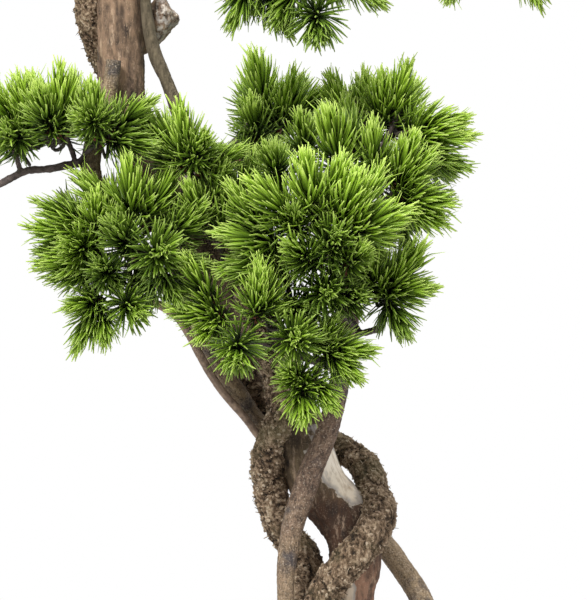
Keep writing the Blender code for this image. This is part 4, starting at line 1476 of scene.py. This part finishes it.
@dataclass
class Soil:
    """The soil: a crowned, crumbly bed with bark chips and grit on top.

    Attributes:
        node: its frame node.
        cell: the size of its faces.
        crown: how far below its highest point the crumbly top reaches.
        chips: how many chips lie on it.
    """

    node: str = "soil"
    cell: float = 0.0026
    crown: float = 0.012
    chips: int = 1500

    def make(self, chance: random.Random) -> bpy.types.Mesh:
        """Builds the bed out of the frame node and strews the chips on it.

        Args:
            chance: the source of the chips' places and shapes.
        """
        mesh = remeshed(merged_copy(self.node, "soil_base"), self.cell, 1)
        mesh.name = "soil_bed"
        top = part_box(self.node)[1][2]
        surface = []
        with opened(mesh) as bm:
            for vertex in bm.verts:
                if vertex.normal.z > 0.5 and vertex.co.z > top - self.crown:
                    humps, crumbs = turbulence(vertex.co, 70.0, 3), turbulence(vertex.co, 260.0, 3)
                    vertex.co.z += humps * 0.0016 + crumbs * 0.0012
                    surface.append(vertex.co.copy())
        chips = bpy.data.meshes.new("chips")
        with opened(chips) as bm:
            for _ in range(self.chips):
                self.chip(bm, chance.choice(surface), chance)
        joined(mesh, [chips])
        return mesh

    @staticmethod
    def chip(bm: bmesh.types.BMesh, place: Vector, chance: random.Random) -> None:
        """Drops one chip of bark or grit on a place."""
        size = chance.uniform(0.0012, 0.0034)
        shape = Matrix.Diagonal((size * chance.uniform(0.9, 1.9), size,
                                 size * chance.uniform(0.35, 0.8), 1.0))
        turned = (Matrix.Rotation(chance.uniform(0.0, 6.28), 4, "Z")
                  @ Matrix.Rotation(chance.gauss(0.0, 0.4), 4, "X"))
        made = bmesh.ops.create_icosphere(
            bm, subdivisions=1, radius=1.0,
            matrix=Matrix.Translation(place + Vector((0.0, 0.0, size * 0.15))) @ turned @ shape)
        for vertex in made["verts"]:
            vertex.co += Vector([chance.gauss(0.0, size * 0.10) for _ in range(3)])


# ---------------------------------------------------------------- the cut branch beside the trunk


@dataclass
class CutBranch:
    """The stump of a sawn branch that leans out of the trunk, some two thirds of the way up.

    Attributes:
        foot: where it leaves the trunk.
        head: the middle of its sawn end.
        girth: its radius at its foot.
        end: its radius at its sawn end.
    """

    foot: Place
    head: Place
    girth: float = 0.0135
    end: float = 0.0115

    def make(self, name: str) -> bpy.types.Mesh:
        """Builds the stump as a knotted tube with a rough, rounded end."""
        foot, head = Vector(self.foot), Vector(self.head)
        away = (head - foot).normalized()
        bend = foot.lerp(head, 0.55) + Vector((0.0, 0.0, -0.003))
        rows = [(*foot, self.girth), (*bend, self.girth * 0.96), (*(head - away * 0.004), self.end * 1.1),
                (*head, self.end * 0.82)]
        line = smooth_line(np.array(rows), 0.0014)
        mesh = swept(name, [line], 36)
        mesh.uv_layers[0].name = BARK_MAP
        closed(mesh)
        hollow = []
        with opened(mesh) as bm:
            cap = [face for face in bm.faces if len(face.verts) > 4]
            for _ in range(3):
                bmesh.ops.inset_individual(bm, faces=cap, thickness=self.end * 0.2, depth=-0.0004)
            for vertex in bm.verts:
                place = vertex.co.copy()
                broad, fine = turbulence(place, 120.0, 3), turbulence(place, 420.0, 3)
                vertex.co += vertex.normal * (broad * 0.0016 + fine * 0.0007)
                hollow.append(unit(0.45 - fine * 0.6 - broad * 0.3))
        carry(mesh, "hollow", np.array(hollow))
        carry(mesh, "bare", np.array([0.5 if row[0] > self.head[0] - 0.012 else 0.1
                                      for row in points_of(mesh)]))
        mesh.shade_smooth()
        return mesh


# ---------------------------------------------------------------- studio


@dataclass
class Studio:
    """The camera, lights, pale floor and white room.

    Attributes:
        eye: the camera's place.
        lens: its focal length in millimetres.
        film: the film's size on its long side, in millimetres.
        middle: the middle of the plant, where the lamps aim.
    """

    eye: Place = (-0.0452, -5.0, 0.52)
    lens: float = 375.0
    film: float = 36.0
    middle: Place = (-0.05, 0.0, 0.55)

    def build(self) -> None:
        """Sets up the whole studio."""
        self.camera()
        self.floor()
        self.room()
        self.lamp("key", (-1.1, -1.9, 2.4), 0.9, 92.0)
        self.lamp("fill", (1.9, -2.2, 1.0), 1.6, 16.0)
        self.lamp("top", (0.2, 0.4, 2.8), 1.0, 52.0)
        bpy.context.scene.view_settings.view_transform = "Standard"

    def camera(self) -> None:
        """Looks straight at the middle of the plant, level with it."""
        data = bpy.data.cameras.new("camera")
        data.lens = self.lens
        data.sensor_width = self.film
        data.clip_end = 60.0
        camera = bpy.data.objects.new("camera", data)
        camera.location = self.eye
        camera.rotation_euler = (math.pi / 2, 0.0, 0.0)
        bpy.context.collection.objects.link(camera)
        bpy.context.scene.camera = camera

    def floor(self) -> None:
        """Lays a plain pale round of floor under the pot."""
        mesh = bpy.data.meshes.new("floor")
        with opened(mesh) as bm:
            bmesh.ops.create_circle(bm, cap_ends=True, segments=160, radius=0.8)
            for face in bm.faces:
                face.normal_update()
                if face.normal.z < 0.0:
                    face.normal_flip()
        board = Board("floor")
        haze = board.noise(board.place(), 3.0)
        board.set(Base_Color=board.mix(haze, (0.80, 0.80, 0.79), (0.84, 0.84, 0.83)), Roughness=0.9)
        show("floor", mesh, board.material)

    def room(self) -> None:
        """Makes the room white to look at and softer as a light."""
        world = bpy.data.worlds.new("room")
        bpy.context.scene.world = world
        world.use_nodes = True
        tree = world.node_tree
        tree.nodes.clear()
        path = tree.nodes.new("ShaderNodeLightPath")
        choice = tree.nodes.new("ShaderNodeMixShader")
        output = tree.nodes.new("ShaderNodeOutputWorld")
        tree.links.new(path.outputs["Is Camera Ray"], choice.inputs["Fac"])
        for place, colour, strength in ((1, (0.96, 0.98, 1.0, 1.0), 0.50), (2, (1.0, 1.0, 1.0, 1.0), 1.0)):
            room = tree.nodes.new("ShaderNodeBackground")
            room.inputs["Color"].default_value = colour
            room.inputs["Strength"].default_value = strength
            tree.links.new(room.outputs["Background"], choice.inputs[place])
        tree.links.new(choice.outputs["Shader"], output.inputs["Surface"])

    def lamp(self, name: str, place: Place, size: float, power: float) -> None:
        """Hangs a soft square lamp that faces the middle of the plant."""
        data = bpy.data.lights.new(name, "AREA")
        data.size = size
        data.energy = power
        lamp = bpy.data.objects.new(name, data)
        lamp.location = place
        aim = Vector(self.middle) - Vector(place)
        lamp.rotation_euler = aim.to_track_quat("-Z", "Y").to_euler()
        bpy.context.collection.objects.link(lamp)


# ---------------------------------------------------------------- the plant


# The elbow that the left stem and its thin twin share.
ELBOW = Nudge((-0.146, -0.01, 0.515), 0.03, (0.005, 0.0, 0.0))
SMOOTH_STEMS = (
    SmoothStem("stem_left", seed=1.3, tan=(0.80, 0.72), tan_share=0.25,
               nudges=(Nudge((-0.10, -0.01, 0.455), 0.045, (-0.007, 0.0, -0.003)), ELBOW,
                       Nudge((0.05, 0.0, 0.30), 0.05, (0.003, 0.0, 0.0)))),
    SmoothStem("stem_front", seed=2.1, tan=(0.37, 0.26)),
)
LIANAS = (
    Liana("liana_left", seed=0.9, smooth_above=0.60,
          nudges=(Nudge((-0.155, 0.0, 0.70), 0.05, (-0.0012, 0.0, 0.0)),
                  Nudge((-0.06, 0.0, 0.392), 0.045, (0.0035, 0.0, 0.0)))),
    Liana("liana_right", seed=1.7,
          nudges=(Nudge((0.0, 0.0, 0.385), 0.055, (-0.0060, 0.0, -0.002)),
                  Nudge((0.02, 0.0, 0.345), 0.035, (-0.0035, 0.0, 0.0)),
                  Nudge((-0.21, 0.0, 0.70), 0.07, (0.0065, 0.0, 0.0)))),
)
BRANCHES = ("left", "low_left", "mid_left", "back", "right", "front", "low_right", "low_front",
            "upper_right", "upper_left", "crown")
# Pushes on the branches' lines, by branch.
BENDS = {"left": (Nudge((-0.290, -0.03, 0.610), 0.035, (0.0, 0.0, -0.0040)),)}
# The sprays that stay thin: no older tufts stand behind their own.
THIN = ("drop_left", "drop_right", "centre_low", "low_out", "low_star", "low_right", "right_low",
        "front_drop", "hang_left", "hang_mid", "hang_far")
# The sprays whose tufts are set by rule, and the tone of each.
BY_RULE = {
    "needles_left_tip": 0.85, "needles_back_low": 0.45, "needles_upper_mid": 0.75,
    "needles_upper_right": 0.8, "needles_upper_tip": 0.9, "needles_upper_left": 0.85,
    "needles_crown_left": 0.85, "needles_crown_right": 0.85, "needles_crown_front": 0.85,
    "needles_crown_back": 0.8, "needles_crown_top": 1.0,
}


@dataclass
class Plant:
    """The whole plant: six stems, eleven branches and forty-one sprays in a pot."""

    chance: random.Random = field(default_factory=lambda: random.Random(41))

    def build(self) -> None:
        """Builds and seats every piece."""
        self.stems()
        self.branches()
        self.foliage()
        self.planting()

    def stems(self) -> None:
        """Builds the trunk, the two lianas, the smooth stems and the cut branch."""
        trunk = Trunk(
            "trunk_main", seed=0.4,
            patches=(Patch(0.379, -42.0, 0.037, 45.0), Patch(0.284, -120.0, 0.018, 45.0),
                     Patch(0.300, 130.0, 0.05, 50.0), Patch(0.56, 60.0, 0.05, 60.0),
                     Patch(0.93, -40.0, 0.04, 55.0)),
            knots=(Knot(0.335, -60.0, 0.020, 0.0030), Knot(0.690, -60.0, 0.018, 0.0022),
                   Knot(0.560, -100.0, 0.020, 0.0025), Knot(0.840, -110.0, 0.018, 0.0028)))
        mesh = trunk.tube("trunk")
        peeled = PeeledFinish().make()
        seat(show("trunk", mesh, peeled), Bark.PEELED.value, "trunk_main")
        cork = CorkyFinish().make()
        for liana in LIANAS:
            mesh = liana.tube(liana.node + "_bark")
            liana.crumbs(mesh, self.chance)
            seat(show(liana.node + "_bark", mesh, cork), Bark.CORKY.value, liana.node)
        smooth = SmoothFinish().make()
        for stem in SMOOTH_STEMS:
            mesh = stem.tube(stem.node + "_bark")
            seat(show(stem.node + "_bark", mesh, smooth), Bark.SMOOTH.value, stem.node)
        twin = RoughCopy("stem_twin", cell=0.0010, swell=0.0003, seed=0.8,
                         nudges=(Nudge((-0.10, -0.01, 0.455), 0.05, (-0.007, 0.0, -0.003)), ELBOW))
        plain = TwigFinish("twin_bark", (0.140, 0.092, 0.064), (0.430, 0.300, 0.215)).make()
        seat(show("stem_twin_bark", twin.make("stem_twin_bark"), plain), Bark.SMOOTH.value, "stem_twin")
        stump = CutBranch((-0.176, 0.014, 0.726), (-0.1435, 0.012, 0.7550)).make("cut_branch")
        seat(show("cut_branch", stump, peeled), Bark.PEELED.value)

    def branches(self) -> None:
        """Builds the branches."""
        twig = TwigFinish().make()
        for number, name in enumerate(BRANCHES):
            node = "branch_" + name
            copy = RoughCopy(node, seed=0.37 * number, nudges=BENDS.get(name, ()))
            seat(show(node + "_bark", copy.make(node + "_bark"), twig), Bark.TWIG.value, node)

    def foliage(self) -> None:
        """Builds the sprays, and the shoots and ferrules that carry them."""
        pattern = TuftPattern()
        patterns = [pattern.make(self.chance) for _ in range(5)]
        green = NeedleFinish().make()
        sprays = [Spray(node, tufts) for node, tufts in SPRAYS.items()]
        for node, tone in BY_RULE.items():
            spray = Spray(node, common=tone)
            spray.tufts = spray.by_rule(self.chance)
            sprays.append(spray)
        for spray in sprays:
            if spray.node in SPRAYS and spray.node.removeprefix("needles_") not in THIN:
                spray.tufts += spray.backed(self.chance)
            name = spray.node.replace("needles", "tufts")
            seat(show(name, spray.make(name, patterns, self.chance), green), "needles", spray.node)
        hosts = ["branch_" + name for name in BRANCHES]
        shoots, ferrules = Shoots().make(sprays, hosts, self.chance)
        young = TwigFinish("shoot_bark", (0.020, 0.018, 0.012), (0.090, 0.072, 0.045)).make()
        seat(show("shoots", shoots, young), Bark.TWIG.value)
        scaly = TwigFinish("ferrule", (0.070, 0.022, 0.012), (0.260, 0.085, 0.045)).make()
        seat(show("ferrules", ferrules, scaly), Bark.TWIG.value)

    def planting(self) -> None:
        """Builds the pot and the soil."""
        seat(show("pot_body", Pot().make(), PotFinish().make()), "pot", "pot")
        seat(show("soil_bed", Soil().make(self.chance), SoilFinish().make()), "soil", "soil")


def main() -> None:
    """Builds the studio and the plant."""
    logging.basicConfig(level=logging.INFO, format="%(name)s: %(message)s")
    Studio().build()
    Plant().build()
    bpy.context.view_layer.update()


if __name__ == "__main__":
    main()
